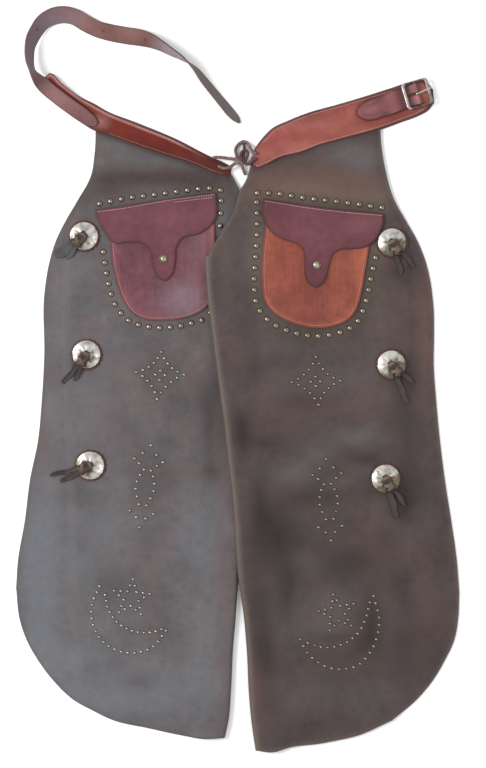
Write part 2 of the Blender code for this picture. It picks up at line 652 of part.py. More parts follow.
def make_pocket(side, front, tree, body_colour):
    pocket = POCKETS[side]
    body = outline((26, pocket.body), (3, pocket.body_top))
    flap = outline((38, pocket.flap), (4, pocket.flap_top))
    flap_height = 2 * LAYER_GAP + POCKET_LEATHER
    finish(leather_on("pocket_" + side, front, LAYER_GAP, POCKET_LEATHER, body), body_colour, 0.5)
    finish(leather_on("pocket_flap_" + side, front, flap_height, POCKET_LEATHER, flap),
           "#6f4048", 0.5)
    snap = turned("pocket_snap_" + side,
                  [(0, 0), (SNAP_RADIUS * 0.8, 0), (SNAP_RADIUS, 0.7), (SNAP_RADIUS * 0.8, 2.1),
                   (SNAP_RADIUS * 0.35, SNAP_HEIGHT), (0, SNAP_HEIGHT)], 10)
    place, normal = on_leather(tree, *pocket.snap)
    snap.location = (place + normal * (flap_height + POCKET_LEATHER + LAYER_GAP)) * MM
    snap.rotation_euler = normal.to_track_quat("Z", "Y").to_euler()
    finish(snap, "#a08a5a", 0.35, 1.0)


# ---------------------------------------------------------------- belts and strap

def belt_rise(x):
    return BELT_RISE * ease((-x - RISE_START) / RISE_LENGTH)


def belt_grid(belt, count):
    """The belt's face as rows along it, each with its lower edge, ridge, slope and upper edge."""
    lower, ridge, upper = (evenly(line, count) for line in (belt.lower, belt.ridge, belt.upper))
    high = LEG_TOP + LAYER_GAP + BELT_LEATHER / 2
    low = BELT_LEATHER * 1.5 + LAYER_GAP
    rows = []
    for a, b, d in zip(lower, ridge, upper):
        over_leg = 1 - ease((abs(b[0]) - abs(belt.leg_corner) - 2) / BELT_SETTLE)
        row = []
        for point, past in ((a, 0), (b, 0), (b + (d - b) * 0.45, 0.45), (d, 1)):
            drop = min(high - low, BELT_SLOPE * past * float(np.linalg.norm(d - b)))
            height = low + max(0, high - low - drop) * over_leg
            row.append((*point, height + belt_rise(point[0])))
        rows.append(row)
    return rows


def make_belt(side, belt, face_colour):
    rows = belt_grid(belt, BELT_ROWS)
    face = sheet("belt_face_" + side, rows, BELT_LEATHER)
    finish(face, face_colour, 0.45)
    lining = [[(*point, BELT_LEATHER / 2 + belt_rise(point[0])) for point in (a, (a + b) / 2, b)]
              for a, b in zip(evenly(belt.lining_lower, BELT_ROWS),
                              evenly(belt.lining_upper, BELT_ROWS))]
    finish(sheet("belt_lining_" + side, lining, BELT_LEATHER), "#4d413c", 0.7)
    return rows


def make_strap():
    """The long strap from the left belt's end: it lies on the belt, then stands on its edge,
    lies flat, turns over and ends in a point."""
    rows = []
    table = np.array(STRAP_TABLE, float)
    run = np.gradient(table[:, :2], axis=0)
    for (x, y, low, roll, width), (dx, dy) in zip(STRAP_TABLE, run):
        length = hypot(dx, dy)
        left = Vector((-dy / length, dx / length, 0))
        turn = radians(roll)
        arm = (left * cos(turn) + Vector((0, 0, -sin(turn)))) * (width / 2)
        centre = Vector((x, y, low + abs(sin(turn)) * width / 2
                         + abs(cos(turn)) * STRAP_LEATHER / 2 + 0.2))
        rows.append([centre + arm * k for k in (1, 0, -1)])
    finish(sheet("belt_strap", rows, STRAP_LEATHER), "#6b4f4e", 0.5)


def make_lace():
    """The tie between the belts: three strands and the knot that holds them."""
    knot = bmesh.new()
    bmesh.ops.create_icosphere(knot, subdivisions=2, radius=1)
    bmesh.ops.scale(knot, vec=LACE_KNOT_SIZE, verts=knot.verts)
    bmesh.ops.translate(knot, vec=LACE_KNOT, verts=knot.verts)
    lace = mesh_object("front_lace", knot)
    for number, route in enumerate(LACES):
        curve = bpy.data.curves.new("guide_strand_%d" % number, "CURVE")
        curve.dimensions = "3D"
        curve.bevel_depth = LACE_RADIUS * MM
        curve.bevel_resolution = 2
        curve.use_fill_caps = True
        spline = curve.splines.new("POLY")
        path = evenly(route, 11)
        spline.points.add(len(path) - 1)
        for point, place in zip(spline.points, path):
            point.co = (*(place * MM), 1)
        strand = add_object(curve.name, curve)
        tube = bmesh.new()
        tube.from_mesh(bpy.data.meshes.new_from_object(strand))
        bpy.data.objects.remove(strand)
        bmesh.ops.remove_doubles(tube, verts=tube.verts, dist=0.00001)
        bmesh.ops.scale(tube, vec=(1 / MM, 1 / MM, 1 / MM), verts=tube.verts)
        combine(lace, "UNION", mesh_object("guide_strand_%d" % number, tube))
    finish(lace, "#5a4640", 0.6)


# ---------------------------------------------------------------- conchos

def make_concho(name, tree, place, *ends):
    """A domed concho on its scalloped leather, with a knotted thong that hangs over it."""
    x, y = place
    seat = on_leather(tree, x, y)[0].z
    scallops = bmesh.new()
    count = ROSETTE_SCALLOPS * 2
    rim = []
    for k in range(count):
        reach = ROSETTE_RADIUS - SCALLOP_DEPTH * (k % 2)
        rim.append(scallops.verts.new((x + reach * cos(2 * pi * k / count),
                                       y + reach * sin(2 * pi * k / count),
                                       seat + LAYER_GAP)))
    tops = bmesh.ops.extrude_face_region(scallops, geom=[scallops.faces.new(rim)])["geom"]
    bmesh.ops.translate(scallops, vec=(0, 0, ROSETTE_LEATHER),
                        verts=[v for v in tops if isinstance(v, bmesh.types.BMVert)])
    bmesh.ops.recalc_face_normals(scallops, faces=scallops.faces)
    finish(mesh_object("rosette_" + name, scallops), "#4a2f2c", 0.6)

    radius, rise, metal = CONCHO_RADIUS, CONCHO_HEIGHT, CONCHO_METAL
    profile = [(0, rise - metal), (radius * 0.6, rise * 0.62 - metal), (radius - 1.2, 0),
               (radius, 0), (radius, 0.9), (radius * 0.85, rise * 0.36),
               (radius * 0.5, rise * 0.82), (0, rise)]
    concho = turned("concho_" + name, profile, 14)
    concho.location = Vector((x, y, seat + 2 * LAYER_GAP + ROSETTE_LEATHER)) * MM
    finish(concho, "#b8b8ba", 0.22, 1.0)

    knot = bmesh.new()
    bmesh.ops.create_uvsphere(knot, u_segments=8, v_segments=4, radius=1)
    bmesh.ops.scale(knot, vec=KNOT_SIZE, verts=knot.verts)
    bmesh.ops.rotate(knot, matrix=Matrix.Rotation(radians(ends[0][0] + 52), 3, "Z"),
                     verts=knot.verts)
    bmesh.ops.translate(knot, vec=(x, y, seat + KNOT_RISE), verts=knot.verts)
    thong = mesh_object("thong_" + name, knot)
    for number, (direction, length, width) in enumerate(ends):
        ahead = Vector((cos(radians(direction)), sin(radians(direction)), 0))
        side = Vector((-ahead.y, ahead.x, 0)) * (width / 2)
        rows = []
        for away, height in THONG_PROFILE + ((length - 8, 1.6), (length, 1.6)):
            height += number * 0.3
            centre = Vector((x, y, seat + height)) + ahead * away
            if away > ROSETTE_RADIUS:
                centre.z = on_leather(tree, centre.x, centre.y)[0].z + height
            slim = 0.45 if away == length else 1
            rows.append([centre + side * slim, centre - side * slim])
        end = sheet("guide_thong_%s_%d" % (name, number), rows, THONG_LEATHER)
        combine(thong, "UNION", end)
    finish(thong, "#4b3b38", 0.7)


# ---------------------------------------------------------------- buckle

def rounded(length, width, corner):
    """A rounded rectangle that also has a point in the middle of each long side."""
    points = []
    for end, side, start in ((1, 1, 0), (-1, 1, 90), (-1, -1, 180), (1, -1, 270)):
        for step in range(4):
            angle = radians(start + 30 * step)
            points.append((end * (length / 2 - corner) + corner * cos(angle),
                           side * (width / 2 - corner) + corner * sin(angle)))
        if end == side:
            points.append((0, side * width / 2))
    return points


def strip(name, profile, widths, thickness, columns, lift=None):
    """A bent strip: its middle line of (x, z), with the y of its two edges at each point."""
    rows = []
    for (x, z), (low, high) in zip(profile, widths):
        row = []
        for k in range(columns):
            y = low + (high - low) * k / (columns - 1)
            row.append((x, y, lift(x, y, z) if lift else z))
        rows.append(row)
    return sheet(name, rows, thickness)


def make_buckle(belt_rows):
    """A bowed frame with a middle bar, the belt's end folded round the bar, and the prong."""
    floor = BELT_LEATHER * 2 + LAYER_GAP  # top of the belt's free end
    under_top = floor + LAYER_GAP + CHAPE_LEATHER
    bar_height = under_top + LAYER_GAP + BAR_RADIUS
    place = bpy.data.objects.new("buckle_place", None)
    bpy.context.collection.objects.link(place)
    place.location = Vector((*BUCKLE_PLACE, bar_height)) * MM
    place.rotation_euler = (0, 0, radians(BUCKLE_TURN))
    bar_x = BUCKLE_LENGTH / 2 - BUCKLE_BAR

    outer = rounded(BUCKLE_LENGTH, BUCKLE_WIDTH, 5)
    inner = rounded(BUCKLE_LENGTH - 2 * BUCKLE_BAR, BUCKLE_WIDTH - 2 * BUCKLE_ARM, 3)
    bm = bmesh.new()
    loops = []
    for points, rise in ((outer, -1), (outer, 1), (inner, 1), (inner, -1)):
        loops.append([bm.verts.new((x, y, BUCKLE_BOW * min(1, abs(x) / bar_x) ** 2
                                    + rise * BUCKLE_METAL / 2)) for x, y in points])
    for low, high in zip(loops, loops[1:] + loops[:1]):
        for k in range(len(outer)):
            bm.faces.new((low[k - 1], low[k], high[k], high[k - 1]))
    bmesh.ops.recalc_face_normals(bm, faces=bm.faces)
    frame = mesh_object("buckle_frame", bm)
    bar = bmesh.new()
    bmesh.ops.create_cone(bar, cap_ends=True, segments=12, radius1=BAR_RADIUS,
                          radius2=BAR_RADIUS, depth=BUCKLE_WIDTH - BUCKLE_ARM,
                          matrix=Matrix.Rotation(pi / 2, 4, "X"))
    guide = mesh_object("guide_buckle_bar", bar)
    combine(frame, "UNION", guide)
    finish(frame, "#b9b4a8", 0.3, 1.0)

    # The leather comes over the bar, goes round it, and back under itself.
    bm = bmesh.new()
    add_grid(bm, belt_rows)
    belt_tree = BVHTree.FromBMesh(bm)
    bm.free()
    turn = radians(BUCKLE_TURN)
    rest = (BELT_LEATHER + CHAPE_LEATHER) / 2 + LAYER_GAP + RIDGE_ROOM - bar_height
    top_z = under_top + LAYER_GAP + CHAPE_LEATHER / 2 - bar_height

    def over_belt(x, y, z):
        if x > CHAPE_LIES:
            return z
        ground = Vector((BUCKLE_PLACE[0] + x * cos(turn) - y * sin(turn),
                         BUCKLE_PLACE[1] + x * sin(turn) + y * cos(turn), 100))
        return max(belt_tree.ray_cast(ground, Vector((0, 0, -1)))[0].z + rest, z)

    wrap = BAR_RADIUS + LAYER_GAP + CHAPE_LEATHER / 2
    profile, widths = [], []
    for x, low, high in CHAPE_TOP:
        profile.append((x, top_z))
        widths.append((low, high))
    profile += [(-7, 0.8), (-3.6, 2.1)]
    for step in range(7):
        angle = radians(100 - 30 * step)
        profile.append((wrap * cos(angle), wrap * sin(angle)))
    profile += [(x, -wrap) for x in (-10, -20, CHAPE_RETURN)]
    widths += [(-CHAPE_HALF, CHAPE_HALF)] * (len(profile) - len(widths))
    chape = strip("buckle_chape", profile, widths, CHAPE_LEATHER, 4, over_belt)
    slot = bmesh.new()
    bmesh.ops.create_cube(slot, size=1)
    bmesh.ops.scale(slot, vec=(SLOT_END - SLOT_START, SLOT_WIDTH, 20), verts=slot.verts)
    bmesh.ops.translate(slot, vec=((SLOT_END + SLOT_START) / 2, 0, 0), verts=slot.verts)
    slot_guide = mesh_object("guide_slot", slot)
    combine(chape, "DIFFERENCE", slot_guide)
    finish(chape, "#a2695f", 0.5)

    curl = BAR_RADIUS + LAYER_GAP + PRONG_METAL / 2
    over_bar = BUCKLE_BOW + BUCKLE_METAL / 2 + LAYER_GAP + PRONG_METAL / 2
    profile = [(curl * cos(radians(a)), curl * sin(radians(a))) for a in range(360, 89, -30)]
    profile += [(4, curl + 0.6), (10, over_bar - 1), (16, over_bar), (20.5, over_bar),
                (23, over_bar - 0.5)]
    half = PRONG_WIDTH / 2
    widths = [(-half + max(x, 0) * PRONG_LEAN, half + max(x, 0) * PRONG_LEAN)
              for x, z in profile]
    widths[-1] = (widths[-1][0] + half * 0.5, widths[-1][1] - half * 0.5)
    prong = strip("buckle_prong", profile, widths, PRONG_METAL, 2)
    finish(prong, "#b9b4a8", 0.3, 1.0)
    for obj in (frame, guide, chape, slot_guide, prong):
        obj.parent = place


def main():
    for obj in list(bpy.data.objects):
        bpy.data.objects.remove(obj)
    fronts = {}
    for side, leg, colour in (("left", LEFT, "#6b605e"), ("right", RIGHT, "#5c4c48")):
        obj, front = make_leg("leg_" + side, leg, colour)
        tree = surface_tree(front)
        combine(obj, "UNION", make_studs(side, tree))
        fronts[side] = (front, tree)
    make_pocket("left", *fronts["left"], "#85484c")
    make_pocket("right", *fronts["right"], "#a3573f")
    for name, side, place, *ends in CONCHOS:
        make_concho(name, fronts[side][1], place, *ends)
    make_belt("left", BELT_LEFT, "#7c3d33")
    make_buckle(make_belt("right", BELT_RIGHT, "#a5564c"))
    make_strap()
    make_lace()


main()
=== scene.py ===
"""Leather chaps: the pieces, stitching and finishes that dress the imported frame."""

from collections import namedtuple
from math import cos, hypot, pi, radians, sin

import bmesh
import bpy
import numpy as np
from bpy.props import FloatProperty, FloatVectorProperty, PointerProperty
from bpy.types import Operator, Panel, PropertyGroup
from mathutils import Matrix, Vector
from mathutils.bvhtree import BVHTree


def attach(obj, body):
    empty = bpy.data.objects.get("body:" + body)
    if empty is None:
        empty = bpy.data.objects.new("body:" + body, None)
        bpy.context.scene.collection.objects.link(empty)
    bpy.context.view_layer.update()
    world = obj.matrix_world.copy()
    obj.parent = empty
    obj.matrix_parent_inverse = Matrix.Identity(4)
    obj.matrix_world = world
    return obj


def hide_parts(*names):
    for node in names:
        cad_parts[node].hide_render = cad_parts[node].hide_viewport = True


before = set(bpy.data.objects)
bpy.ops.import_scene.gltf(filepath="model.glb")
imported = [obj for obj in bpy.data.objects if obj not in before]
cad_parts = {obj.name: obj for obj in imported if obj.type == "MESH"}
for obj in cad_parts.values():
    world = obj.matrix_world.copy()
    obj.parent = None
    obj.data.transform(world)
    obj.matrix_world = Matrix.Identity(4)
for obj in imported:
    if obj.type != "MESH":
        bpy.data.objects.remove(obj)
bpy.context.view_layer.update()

bl_info = {
    "name": "Leather chaps",
    "version": (1, 0, 0),
    "blender": (4, 5, 0),
    "location": "3D View > Sidebar > Chaps",
    "description": "Dresses the chaps in leather, stitching, studs and metal",
    "category": "Object",
}

MM = 0.001
GAP = 0.4  # air between leathers that lie on each other, in mm

CAMERA_PLACE, CAMERA_LENS = (0.008, -0.008, 2.903), 85  # in metres, and its lens in mm
SKY = 0.88  # strength of the white world
LIGHTS = (  # name, place, size in metres, power in watts
    ("key", (-2.6, 0.5, 2.6), 1.3, 118),
    ("fill", (2.4, -1.2, 3.0), 2.0, 22),
)

LOOP_RADIUS = 4.6  # of the turned inner edge, at the middle of the leather
LOOP_SETTLE = 70  # width over which the front comes down from that turn onto the flap
LOOP_START = 75  # length of cut edge over which it rises towards the turn
WING_SETTLE = 32  # width over which the wing comes down from the flap to the ground
WING_FADE = (300, 210)  # heights on the page between which that drop begins and is full

BELT_SLOPE, BELT_SETTLE = 0.25, 22
BELT_RISE, RISE_START, RISE_LENGTH = 5.0, 232, 55

BUCKLE_PLACE, BUCKLE_TURN = (286.0, 455.0), 16.3
BUCKLE_LENGTH, BUCKLE_WIDTH, BUCKLE_BAR, BUCKLE_ARM, BUCKLE_METAL = 43.0, 43.0, 4.6, 3.2, 3.2
BUCKLE_BOW, BAR_RADIUS = 2.4, 1.5
BUCKLE_CORNERS = 5, 3  # radius of its outer and inner corners
PRONG_METAL, PRONG_WIDTH, PRONG_LEAN = 1.3, 3.0, 0.12
CHAPE_HALF, CHAPE_RETURN, RIDGE_ROOM = 16.5, -31, 0.7
SLOT_START, SLOT_HALF = -15, 2.4

# ---------------------------------------------------------------- outlines of the legs
# Every line runs from the waist down, or from the inner edge out, as (x, y). "cut" is the inner
# edge from the belt to the crotch, "fold" the outermost line of the turned edge below it.

Leg = namedtuple("Leg", "side top cut fold seam outer hem hem_wing flap_top flap_edge flap_hem")

LEFT = Leg(
    side=-1,
    top=[(-13, 331), (-34, 338), (-75, 357), (-122, 378), (-163, 391), (-213, 408), (-227, 413)],
    cut=[(-13, 331), (-6, 320), (3, 300), (13, 266), (28, 238), (46, 208), (53, 195)],
    fold=[(59, 195), (54, 126), (46, 46), (37, -34), (26, -114), (16, -194), (8, -258), (1, -315),
          (-4, -386), (-8, -434), (-11, -498), (-15, -545), (-21, -573)],
    seam=[(-213, 408), (-214, 380), (-219, 335), (-231, 298), (-249, 262), (-264, 222),
          (-266, 126), (-266, 40), (-260, -138), (-253, -354), (-246, -523)],
    outer=[(-227, 413), (-229, 363), (-235, 325), (-256, 286), (-275, 254), (-291, 222),
           (-301, 190), (-310, 134), (-310, 38), (-314, -34), (-320, -98), (-333, -162),
           (-341, -226), (-352, -290), (-355, -334)],
    hem=[(-27, -573), (-53, -575), (-88, -570), (-144, -558), (-198, -546), (-246, -523)],
    hem_wing=[(-246, -523), (-262, -514), (-296, -482), (-320, -450), (-338, -418), (-349, -386),
              (-355, -334)],
    flap_top=[(53, 195), (-60, 214), (-180, 232), (-254, 238)],
    flap_edge=[(-254, 238), (-260, 126), (-261, 40), (-255, -138), (-248, -354), (-240, -515)],
    flap_hem=[(-27, -573), (-88, -561), (-144, -549), (-198, -535), (-240, -515)],
)
RIGHT = Leg(
    side=1,
    top=[(22, 355), (69, 373), (130, 390), (187, 405), (213, 411), (227, 414)],
    cut=[(22, 355), (19, 338), (13, 318), (3, 300), (-7, 266), (-23, 238), (-41, 208), (-47, 195)],
    fold=[(-53, 195), (-50, 142), (-40, 62), (-30, -16), (-22, -74), (-16, -130), (-10, -178),
          (-6, -226), (0, -314), (9, -378), (14, -434), (17, -498), (21.5, -549), (28, -593.5)],
    seam=[(213, 411), (214, 380), (220, 335), (231, 298), (248, 262), (263, 222), (266, 126),
          (266, 24), (258, -158), (251, -354), (246, -546)],
    outer=[(227, 414), (229, 376), (235, 338), (250, 286), (268, 254), (286.5, 222), (299.5, 190),
           (312.5, 118), (313.5, 62), (313, 27), (317, -34), (323, -98), (331, -162), (341, -226),
           (350, -290), (354, -341)],
    hem=[(34, -593.5), (52, -596), (86, -588), (130, -583), (152, -579), (190, -570.5),
         (246, -546)],
    hem_wing=[(246, -546), (285, -514), (312, -482), (331, -450), (346, -418), (352, -386),
              (354, -341)],
    flap_top=[(-47, 195), (60, 214), (180, 232), (254, 238)],
    flap_edge=[(254, 238), (260, 126), (261, 24), (253, -158), (246, -354), (240, -537)],
    flap_hem=[(34, -593.5), (86, -581), (147, -570), (190, -560), (240, -537)],
)
LEGS = {"left": LEFT, "right": RIGHT}

# Height by which the right-hand leg rides over the left-hand one: at the left leg's turned edge,
# and well inside it, where it crosses two plain layers or the pocket.
RIDE_TABLE = (  # y, over the turned edge, inside it
    (322, 0, 0),
    (301, 4.6, 4.2),
    (250, 9.8, 7.5),
    (195, 13.4, 10.4),
    (70, 13.4, 10.4),
    (-10, 13.4, 7.0),
    (-285, 13.4, 13.4),
    (-330, 7, 7),
    (-400, 0.8, 0.8),
    (-440, 0, 0),
)
RIDE_CREST, RIDE_INSIDE, RIDE_OUTSIDE = 22, 60, 95
ROOM, ROOM_START, ROOM_FROM, ROOM_LENGTH = 0.9, 60, 105, 80  # the riding front clears its flap

# ---------------------------------------------------------------- belts, strap and lace

Belt = namedtuple("Belt", "leg_corner lower ridge upper lining_upper lining_lower")

BELT_LEFT = Belt(
    leg_corner=-229,
    lower=[(-314, 461.5), (-303, 448.5), (-276, 427), (-252, 410.5), (-230, 397.5), (-215, 392.5),
           (-163, 374), (-122, 360), (-75, 345), (-34, 328), (-14, 323)],
    ridge=[(-311, 475), (-290, 462), (-263, 441), (-240, 425), (-222, 416), (-205, 410),
           (-163, 396), (-122, 382), (-75, 361), (-34, 342), (-15, 334)],
    upper=[(-309, 481), (-302, 487), (-279, 470), (-252, 450), (-230, 437.5), (-213, 428),
           (-163, 407), (-106, 384), (-48, 355), (-26, 345), (-15, 338)],
    lining_upper=[(-309, 481), (-302, 488), (-279, 470.5), (-252, 451), (-229, 440), (-214, 431),
                  (-160, 409.5), (-102, 385.5), (-42, 355), (-24, 347), (-10, 339)],
    lining_lower=[(-314, 461.5), (-303, 448.5), (-276, 427), (-252, 410.5), (-230, 397.5),
                  (-215, 392.5),
                  (-163, 374), (-122, 360), (-75, 345), (-34, 328), (-12, 322)],
)
BELT_RIGHT = Belt(
    leg_corner=228,
    lower=[(24, 342), (30, 338), (45, 343), (67, 354), (99, 362), (128, 373), (171, 385),
           (226, 400.5), (262, 413.5), (289, 424), (302, 432), (310, 444)],
    ridge=[(24, 358), (32, 363), (50, 371), (74, 380), (102, 388), (132, 395), (174, 407),
           (218, 417), (254, 428), (287, 440), (300, 445), (311, 450)],
    upper=[(25, 362), (31, 371), (43, 385), (57, 399), (80, 410.5), (112, 423.5), (160, 437),
           (202, 449.5), (243, 462), (282, 474), (295, 475), (308, 462)],
    lining_upper=[(24, 363), (29, 372), (41, 388), (55, 401.5), (79, 413), (112, 426), (160, 439.5),
                  (202, 452), (243, 465), (284, 477), (298, 478), (312, 463)],
    lining_lower=[(23, 341), (30, 336), (46, 341), (67, 352), (99, 361), (128, 372), (171, 384),
                  (227, 398.5), (262, 411), (290, 421.5), (304, 429.5), (314, 442)],
)
BELTS = {"left": BELT_LEFT, "right": BELT_RIGHT}

STRAP_TABLE = (  # x, y, height of the lower edge, roll in degrees, width
    (-226, 405, 9.0, 0, 6),
    (-232, 410, 9.0, 0, 16),
    (-242, 416.5, 8.8, 0, 21),
    (-251.5, 424, 8.6, 0, 22),
    (-263.5, 432, 9.4, 0, 22.5),
    (-276.5, 441, 10.6, 0, 23),
    (-289.5, 451, 11.0, 0, 23),
    (-302.5, 461.5, 11.0, -4, 23),
    (-311.5, 470, 11.0, -22, 23.5),
    (-320, 480, 10.6, -54, 24.5),
    (-327, 491, 9.6, -73, 25),
    (-330.5, 502.5, 8.4, -71, 27),
    (-331.5, 515, 7.2, -67, 27.5),
    (-331, 527, 6.2, -65, 27.5),
    (-327.5, 541, 5.0, -56, 27.5),
    (-320.5, 555, 3.6, -51, 27.5),
    (-309.5, 570, 2.0, -42, 27.5),
    (-296, 578.5, 0.8, -32, 27.5),
    (-280, 582.5, 0, -14, 27),
    (-260, 578.5, 0, -10, 26.5),
    (-244, 569, 0, -12, 26.5),
    (-226, 560, 0, -8, 26),
    (-203, 554, 0, 0, 27),
    (-178, 549, 0, -10, 27),
    (-158, 545.5, 0, -25, 27),
    (-141.5, 540.5, 0, -44, 27),
    (-125, 532.5, 0, -62, 27),
    (-105.5, 521, 0, -75, 27),
    (-89, 511.5, 0, -87, 27),
    (-78.5, 504, 0, -97, 27),
    (-68.5, 495, 0, -107, 26),
    (-54.5, 477, 0, -118, 25),
    (-39, 458, 0, -124, 22.5),
    (-24, 440, 0, -131, 20),
    (-11, 424.5, 0, -138, 18),
    (-2, 415, 0, -141, 12.5),
    (3, 409.5, 0, -141, 3.5),
)

LACES = (  # each strand's route: x, y, height of its middle
    ((-32, 340, 11.2), (-26, 337, 11.4), (-19, 336, 11.4), (-12, 338.5, 11.2), (-6, 343, 9),
     (-1, 347, 7), (-2, 357, 7), (-4, 366, 5), (2, 376, 3.2), (10, 380, 3), (17, 375, 5.5),
     (20, 368, 10), (25, 361, 11.6), (31, 360, 11.2)),
    ((-41, 353, 11.2), (-36, 353.5, 11.4), (-28, 353.5, 11), (-16, 352, 9.5), (-5, 350.5, 9),
     (3, 348, 9), (7, 339, 6), (10, 331, 4), (12, 326, 3.4)),
    ((30, 351, 11.2), (25, 350, 11.4), (20, 345, 9.5), (12, 344, 6.5), (9, 350, 5), (9, 360, 5),
     (10, 369, 5.5), (10, 377, 6)),
)
LACE_TURN = ((1, 349, 8.5), (2.5, 353, 8.6), (4.5, 359, 8.8), (7.5, 363.5, 9), (11.5, 365, 9),
             (15, 362.5, 8.6), (15.8, 357.5, 8), (13.5, 352.5, 7.6), (10.5, 348, 7.2),
             (7, 346, 7.4), (3, 346.5, 8))  # the lace goes round once more inside its loop
LACE_KNOT = (-0.5, 348.5, 8.2)
LACE_KNOT_SIZE = (5.5, 6.5, 4.6)
LACE_POINTS = 40

# ---------------------------------------------------------------- pockets, studs and conchos

Pocket = namedtuple("Pocket", "body body_top flap flap_top snap")

POCKETS = {
    "left": Pocket(
        body=[(-213, 264), (-205, 224), (-202, 190), (-194, 154), (-182, 122), (-168, 104),
              (-149, 95), (-120, 93), (-91, 96), (-68, 103), (-51, 114), (-40, 132), (-36, 160),
              (-36, 225), (-40, 291)],
        body_top=[(-40, 291), (-213, 264)],
        flap=[(-36, 298), (-34, 277), (-35, 259), (-43, 245), (-62, 232), (-89, 224), (-98, 211),
              (-100, 189), (-105, 167), (-116, 157), (-127, 161), (-134, 173), (-138, 195),
              (-144, 210), (-156, 217), (-176, 218), (-197, 217), (-208, 227), (-218, 243),
              (-225, 257), (-227, 270)],
        flap_top=[(-227, 270), (-130, 285), (-36, 298)],
        snap=(-119, 192),
    ),
    "right": Pocket(
        body=[(45, 282), (43, 242), (39, 206), (38, 152), (42, 125), (54, 107), (73, 94),
              (98, 85), (126, 81), (152, 84), (175, 94), (188, 109), (196, 132), (203, 172),
              (209, 208), (214, 261)],
        body_top=[(214, 261), (45, 282)],
        flap=[(231, 264), (232, 254), (226, 234), (216, 219), (202, 210), (180, 207), (163, 206),
              (152, 200), (146, 184), (141, 164), (133, 151), (122, 146), (113, 151), (107, 164),
              (105, 184), (104, 202), (96, 212), (77, 220), (60, 227), (48, 239), (41, 253),
              (38, 267), (40, 287)],
        flap_top=[(40, 287), (135, 273.5), (231, 264)],
        snap=(124, 182),
    ),
}
STUD_LINES = {  # studs in a line, and the line they follow
    "left": (
        (12, [(-221, 280), (-184, 288), (-130, 295), (-78, 302), (-45, 305), (-28, 302)]),
        (10, [(-27, 285), (-28, 250), (-29, 200), (-30, 160), (-34, 134), (-44, 106)]),
        (15, [(-58, 94), (-91, 85), (-140, 83), (-172, 92), (-195, 117), (-206, 150),
              (-215, 203)]),
    ),
    "right": (
        (12, [(31, 297), (65, 296), (103, 290), (157, 284), (194, 279), (230, 274)]),
        (27, [(30, 282), (31, 238), (28, 190), (26, 145), (31, 116), (50, 92), (82, 76),
              (116, 69), (154, 72), (188, 88), (204, 122), (212, 159), (220, 194)]),
    ),
}
DIAMONDS = {  # the four points of each star-sided diamond, and its centre
    "left": ([(-122, 43), (-86, 7), (-129, -32), (-162, 11)], (-124, 6)),
    "right": ([(125, 35), (164, -3), (129, -41), (86, -5)], (124, -4)),
}
SPRAYS = {  # the head and foot of each upright spray
    "left": ((-139, -106), (-157, -237)),
    "right": ((141, -128), (149, -258)),
}
SPRAY_PAIRS = (  # distance from the head, half the distance between a pair
    (14, 11), (24, 23), (31, 14.5), (40, 5.6), (49, 10.5), (60, 14), (72, 14.5), (84, 11),
    (96, 6), (108, 19), (117, 7.5),
)
STARS = {"left": ((-170, -350), 85), "right": ((159, -374), 102)}  # centre, angle of one point
STAR_REACH, STAR_WAIST = 30, 12.5
CRESCENTS = {  # studs on the outer and inner line, and the lines
    "left": (
        (21, [(-221, -331), (-233, -362), (-232, -390), (-214, -421), (-170, -438),
              (-136, -428), (-115, -402)]),
        (14, [(-212, -345), (-206, -370), (-190, -391), (-163, -404), (-134, -404),
              (-122, -400)]),
    ),
    "right": (
        (21, [(217, -347), (226, -384), (217, -427), (189, -459), (149, -462), (112, -438),
              (100, -416)]),
        (14, [(211, -357), (206, -378), (193, -405), (167, -424), (138, -429), (112, -422)]),
    ),
}
CONCHOS = (  # name, leg, place, then direction in degrees, length and width of each thong end
    ("left_top", "left", (-246, 228), (-145, 56, 11), (-128, 46, 6)),
    ("left_middle", "left", (-242, 39), (-130, 60, 7), (-115, 46, 6)),
    ("left_bottom", "left", (-236, -138), (-166, 66, 6), (-151, 54, 7)),
    ("right_top", "right", (246, 218), (-73, 54, 6), (-47, 54, 6)),
    ("right_middle", "right", (245, 23), (-68, 65, 7), (-40, 46, 6)),
    ("right_bottom", "right", (236, -159), (-74, 64, 8), (-54, 53, 6)),
)
THONG_PROFILE = (  # distance from the middle of the concho, height above the leg's leather
    (-6, 9.6), (6, 9.6), (13, 8.2), (19, 6.4), (24, 4.8), (29, 3.5), (35, 1.8),
)
CHAPE_TOP = (  # distance from the bar, and the two edges of the leather on top of the belt
    (-101, -4.5, -1.5), (-98, -10, 2.5), (-91, -16.5, 8), (-80, -20, 11.5), (-68, -20.3, 13),
    (-55, -19.6, 13.8), (-46, -19, 14.4), (-38, -18.5, 14.8), (-31, -17.8, 15.6),
    (-25, -17, 16.3), (-12, -16.5, 16.5),
)
CHAPE_LIES = -28  # where the leather begins to lie on the belt
ROSETTE_RADIUS, ROSETTE_SCALLOPS, SCALLOP_DEPTH = 25.6, 18, 1.3
CONCHO_SHADE = {"left": 0.2, "right": 0.6}  # tarnish and painted shade on the side where the thong hangs
TAIL_ASH = {"left_top": 1, "left_middle": 0.15, "left_bottom": 0.05}  # how grey; others 0.8
KNOT_RISE, KNOT_AHEAD = 10.6, 5  # of the knot's middle, above the leg and from the slot
KNOT_THONG = 2.8, 1.3  # half width and half thickness of the thong where it is knotted
TAIL_TIP = 8  # length over which a thong's end narrows
KNOT_RING = 6.4  # radius of the thong's ring round the concho's slot
KNOT_LOOPS = ((0.45, 9.0, 6.5), (-0.4, 7.5, 10.0))  # turn in radians, reach, distance ahead
BROAD_TAIL = {"left_top": 1.35}  # a thong whose ends lie flatter and look broader

# ---------------------------------------------------------------- how finely, and what shows

